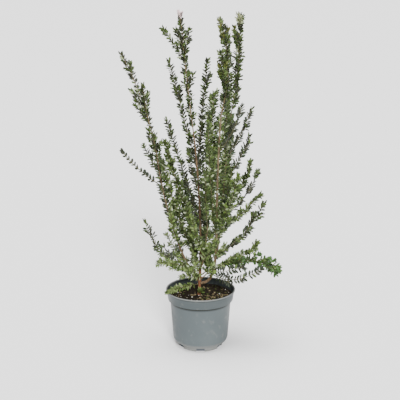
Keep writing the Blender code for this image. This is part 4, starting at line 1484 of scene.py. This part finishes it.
@dataclass
class Foliage:
    """Every leafy shoot, with its twigs and leaves, gathered by colour.

    Each spread is the range of a factor that chance picks.
    """

    wood: Wood
    leaf: LeafShape = LeafShape()
    tip_step: float = 0.0020
    young_rush: float = 1.4
    young_size: float = 0.84
    missing: float = 0.03
    tip_rise: float = math.radians(28.0)
    sway: float = math.radians(8.0)
    young_calm: float = 0.5
    twig_turn: float = 0.30
    pair_turn: float = 0.16
    bough_turn: float = 0.55
    side_reach: float = 0.40
    bough_step: float = 1.60
    bare_front: float = -0.30
    square_to: Point = (0.0, 1.0, 0.02)
    stalk_root: float = 0.8
    size_spread: Pair = (0.84, 1.14)
    breadth_spread: Pair = (0.85, 1.15)
    curl_spread: Pair = (0.4, 1.6)
    step_spread: Pair = (0.85, 1.15)
    place_spread: Pair = (0.2, 0.8)
    length_spread: Pair = (0.65, 1.10)
    rise_spread: Pair = (0.75, 1.2)
    twig_longest: float = 1.25
    twig_shorter: float = 0.80
    twig_first: float = 0.022
    twig_last: float = 0.010
    fork_leaves: float = 0.008
    twig_leaves: float = 0.005
    sprig_leaves: float = 0.006
    fork_bow: float = 0.12
    shoot_radius: float = 0.0015
    fork_radius: float = 0.0013
    twig_radius: float = 0.0010
    stub_radius: float = 0.0020
    tip_radius: float = 0.0009
    twig_sides: int = 5
    stub_sides: int = 8
    shoot_end: float = 0.010
    chord: float = 0.008
    golden: float = math.radians(137.5)
    twig_bark: Bark = Bark("twig_bark", (0.032, 0.030, 0.014), (0.084, 0.076, 0.034))
    stem_bark: Bark = Bark("stem_bark", (0.064, 0.044, 0.021), (0.150, 0.108, 0.052))
    leaves: dict[Green, list[np.ndarray]] = field(default_factory=lambda: {green: [] for green in Green})
    twigs: Heap = field(default_factory=lambda: Heap("twigs"))
    stems: Heap = field(default_factory=lambda: Heap("stems"))

    def leaf_grid(self, root: Vector, along: Vector, side: Vector, rise: float, size: float,
                  spray: Spray) -> np.ndarray:
        """Place one leaf on a twig.

        Args:
            root: where it grows.
            along: the twig's direction.
            side: the side that it leans to.
            rise: the angle between the twig and the leaf.
            size: its size against the usual leaf.
            spray: the spray that it is part of.

        Returns:
            Its breadth, its curl, its length and its root as four columns.
        """
        seeds = spray.seeds
        direction = (along * math.cos(rise) + side * math.sin(rise)).normalized()
        width = along.cross(side).normalized()
        twist = seeds.choice((-1.0, 1.0)) * seeds.uniform(*spray.habit.twists)
        width.rotate(Matrix.Rotation(twist, 3, direction))
        face = direction.cross(width).normalized()
        length = self.leaf.length * size
        across = self.leaf.width * size * spray.habit.breadth * seeds.uniform(*self.breadth_spread)
        curl = face * length * seeds.uniform(*self.curl_spread)
        return np.array([width * across, curl, direction * length, root]).T

    def dress(self, twig: Limb, first: float, spray: Spray, reach: float = 1.0, old: bool = False) -> None:
        """Set opposite pairs of leaves along a twig, each pair turned from the last.

        Args:
            twig: the twig.
            first: how far along the first pair stands.
            spray: the spray that it is part of.
            reach: the length of its young tip against the habit's own.
            old: whether it is an old bough, with fewer pairs, none of them in front and none young.
        """
        habit, seeds = spray.habit, spray.seeds
        distance, turn = first, habit.first_angle + seeds.gauss(0.0, self.twig_turn)
        usual_step = habit.step * (self.bough_step if old else 1.0)
        while distance < twig.length:
            left = twig.length - distance
            fresh = max(0.0, 1.0 - left / (reach * habit.young_reach))
            young = 0.0 if old else min(1.0, self.young_rush * fresh)
            place, along = twig.at(distance)
            across = along.cross(Vector(self.square_to)).normalized()
            across.rotate(Matrix.Rotation(turn + seeds.gauss(0.0, self.pair_turn), 3, along))
            rise = habit.rise + (self.tip_rise - habit.rise) * young
            for side in (across, -across):
                if seeds.random() < self.missing or (old and side.y < self.bare_front):
                    continue
                size = habit.size * (1.0 + (self.young_size - 1.0) * young) * seeds.uniform(*self.size_spread)
                size *= habit.under if side.z < 0.0 else 1.0
                green = spray.pick(left < reach * habit.young_colour)
                sway = seeds.gauss(0.0, 1.0) * self.sway * (1.0 - self.young_calm * young)
                root = place + side * twig.radius_at(distance) * self.stalk_root
                self.leaves[green].append(self.leaf_grid(root, along, side, rise + sway, size, spray))
            turn = seeds.gauss(0.0, self.bough_turn) if old else turn + habit.pair_angle
            step = usual_step + (self.tip_step - usual_step) * young
            distance += step * seeds.uniform(*self.step_spread)

    def bear(self, limb: Limb, first: float, spray: Spray, reach: float = 1.0) -> None:
        """Add a twig with its leaves.

        Args:
            limb: the twig.
            first: how far along its first pair of leaves stands.
            spray: the spray that it is part of.
            reach: the length of its young tip against the habit's own.
        """
        woody = limb.radii[0] > self.shoot_radius
        (self.stems if woody else self.twigs).add(*rings(limb, self.twig_sides))
        self.dress(limb, first, spray, reach)

    def bear_twigs(self, bearer: Limb, first: float, spray: Spray, old: bool = False) -> None:
        """Grow leafy side twigs round a limb by the seeded rule.

        Args:
            bearer: the limb that bears them.
            first: how far along the first of them may leave.
            spray: the spray that they are part of.
            old: whether it is an old bough, with no twigs in front.
        """
        habit, seeds = spray.habit, spray.seeds
        room = bearer.length - first - self.twig_last
        count = max(0, int(room / habit.twig_every))
        bearing = seeds.uniform(0.0, math.tau)
        for number in range(count):
            distance = first + room * (number + seeds.uniform(*self.place_spread)) / count
            bearing += self.golden
            longest = habit.twig_length * (self.twig_longest - self.twig_shorter * distance / bearer.length)
            length = longest * seeds.uniform(*self.length_spread)
            place, along = bearer.at(distance)
            side = along.orthogonal().normalized()
            side.rotate(Matrix.Rotation(bearing, 3, along))
            rise = habit.twig_rise * seeds.uniform(*self.rise_spread)
            if old and side.y < self.bare_front:
                continue
            corners = [place]
            for angle in (rise, 0.5 * rise):
                heading = along * math.cos(angle) + side * math.sin(angle)
                corners.append(corners[-1] + heading * length * 0.5)
            twig = arc(soft_corners(*corners), self.chord, self.twig_radius, self.tip_radius)
            self.bear(twig, self.twig_leaves, spray, self.side_reach)

    def stem(self, shoot: Shoot) -> Limb:
        """Return a shoot's stem.

        Args:
            shoot: the shoot.

        Returns:
            The stem.
        """
        parent, bend = self.wood.limbs[shoot.parent], metres(shoot.bend)
        start, radius = parent.points[-1], parent.radii[-1]
        if shoot.height is not None:
            radius = self.shoot_radius
            start = beside(parent, shoot.height / MILLIMETRES, bend, radius)
        corners = soft_corners(start, bend, metres(shoot.tip))
        return arc(corners, self.chord, radius, self.tip_radius, self.shoot_end)

    def grow(self, shoot: Shoot) -> None:
        """Grow one shoot with its forks, side twigs and leaves.

        Args:
            shoot: the shoot.
        """
        spray = Spray(HABITS[shoot.spray], random.Random("foliage_" + shoot.name))
        stem = self.stem(shoot)
        self.bear(stem, spray.habit.bare, spray)
        bearers = [stem]
        for share, tip in shoot.forks:
            place, along = stem.at(stem.length * share)
            end = metres(tip)
            bend = place.lerp(end, 0.5) + along * self.fork_bow * (end - place).length
            corners = soft_corners(place, bend, end)
            fork = arc(corners, self.chord, self.fork_radius, self.tip_radius, self.shoot_end)
            self.bear(fork, self.fork_leaves, spray)
            bearers.append(fork)
        for bearer in bearers:
            self.bear_twigs(bearer, self.twig_first, spray)

    def grow_on_bough(self, name: str, low: float, habit: Habit) -> None:
        """Grow leaves and leafy twigs on the upper part of a bough.

        Args:
            name: the bough's name.
            low: the height above which they grow.
            habit: the kind of spray.
        """
        bearer, spray = self.wood.limbs[name], Spray(habit, random.Random("on_" + name))
        first = bearer.distance_at_height(low)
        self.dress(bearer, first, spray, old=True)
        self.bear_twigs(bearer, first, spray, True)

    def leaf_mesh(self, green: Green) -> Mesh:
        """Join all leaves of one colour.

        Args:
            green: the colour.

        Returns:
            Their mesh.
        """
        grids = np.array(self.leaves[green])
        corners = self.leaf.corners()
        placed_corners = np.einsum("nij,kj->nki", grids[:, :, :3], corners) + grids[:, None, :, 3]
        heap = Heap("leaves_" + green.name.lower())
        for leaf in placed_corners:
            heap.add(leaf, self.leaf.faces())
        mesh = heap.mesh()
        corner_of = np.empty(len(mesh.loops), dtype=np.int32)
        mesh.loops.foreach_get("vertex_index", corner_of)
        places = self.leaf.places()[corner_of % len(corners)]
        mesh.uv_layers.new(name="leaf").data.foreach_set("uv", places.reshape(-1))
        return mesh

    def build(self) -> None:
        """Grow every shoot, then build and dress the twigs and the leaves of each colour."""
        for shoot in SHOOTS:
            self.grow(shoot)
        for name, low, kind in LEAFY_BOUGHS:
            self.grow_on_bough(name, low, HABITS[kind])
        seeds = random.Random("sprigs")
        for sprig in SPRIGS:
            corners = soft_corners(*map(metres, (sprig.start, sprig.bend, sprig.tip)))
            twig = arc(corners, self.chord, self.twig_radius, self.tip_radius)
            self.bear(twig, self.sprig_leaves, Spray(HABITS[sprig.spray], seeds))
        for places in STUBS:
            stub = arc(soft_corners(*map(metres, places)), self.chord, self.stub_radius, self.shoot_radius)
            self.stems.add(*rings(stub, self.stub_sides))
        nodes = ["foliage_" + shoot.name for shoot in SHOOTS]
        for heap, bark in ((self.twigs, self.twig_bark), (self.stems, self.stem_bark)):
            show(heap.name, heap.mesh(), bark.material(), nodes)
        for green in Green:
            if self.leaves[green]:
                log.info("%s: %d leaves", green.name, len(self.leaves[green]))
                mesh = self.leaf_mesh(green)
                show(mesh.name, mesh, LeafSkin(green).material(), nodes)


# Studio

@dataclass
class Studio:
    """Plain pale floor, soft light and the camera at the photograph's angle."""

    eye: Point = (-0.0014, -2.2, 0.981)
    pitch: float = math.radians(14.4)
    focal_pixels: float = 840.0
    image_width: float = 400.0
    sensor: float = 36.0
    floor_size: float = 240.0
    sky: Colour = (1.0, 1.0, 1.0)
    sky_strength: float = 0.24
    # Each sun's name and strength, then its spread, lean and turn in degrees
    suns: tuple[tuple[str, float, float, float, float], ...] = (
        ("front", 6.2, 18.0, 62.0, 9.0),
        ("top", 4.8, 36.0, 5.0, -60.0),
    )
    finish: FloorPaint = FloorPaint()

    def build_floor(self) -> None:
        """Lay the floor."""
        half = self.floor_size / 2
        corners = [(-half, -half, 0.0), (half, -half, 0.0), (half, half, 0.0), (-half, half, 0.0)]
        mesh = bpy.data.meshes.new("floor")
        mesh.from_pydata(corners, [], [(0, 1, 2, 3)])
        mesh.materials.append(self.finish.material())
        floor = placed("floor", mesh)

    def build_light(self) -> None:
        """Set the soft light of the sky and the suns."""
        world = bpy.data.worlds.new("studio")
        world.use_nodes = True
        background = world.node_tree.nodes["Background"]
        background.inputs[0].default_value = (*self.sky, 1.0)
        background.inputs[1].default_value = self.sky_strength
        bpy.context.scene.world = world
        for name, strength, spread, lean, turn in self.suns:
            light = bpy.data.lights.new(name, "SUN")
            light.energy = strength
            light.angle = math.radians(spread)
            placed(name, light).rotation_euler = (math.radians(lean), 0.0, math.radians(turn))

    def build_camera(self) -> None:
        """Set up the camera."""
        data = bpy.data.cameras.new("camera")
        data.sensor_width = self.sensor
        data.lens = self.focal_pixels * self.sensor / self.image_width
        data.clip_end = self.floor_size
        camera = placed("camera", data)
        camera.location = self.eye
        camera.rotation_euler = (math.radians(90.0) - self.pitch, 0.0, 0.0)
        bpy.context.scene.camera = camera

    def build(self) -> None:
        """Build the floor, the light and the camera."""
        self.build_floor()
        self.build_light()
        self.build_camera()


def main() -> None:
    """Build the potted shrub and its studio."""
    logging.basicConfig(level=logging.INFO, format="%(message)s")
    pot = Pot()
    pot.build()
    Soil(pot).build()
    wood = Wood()
    wood.build()
    Foliage(wood).build()
    Studio().build()


if __name__ == "__main__":
    main()
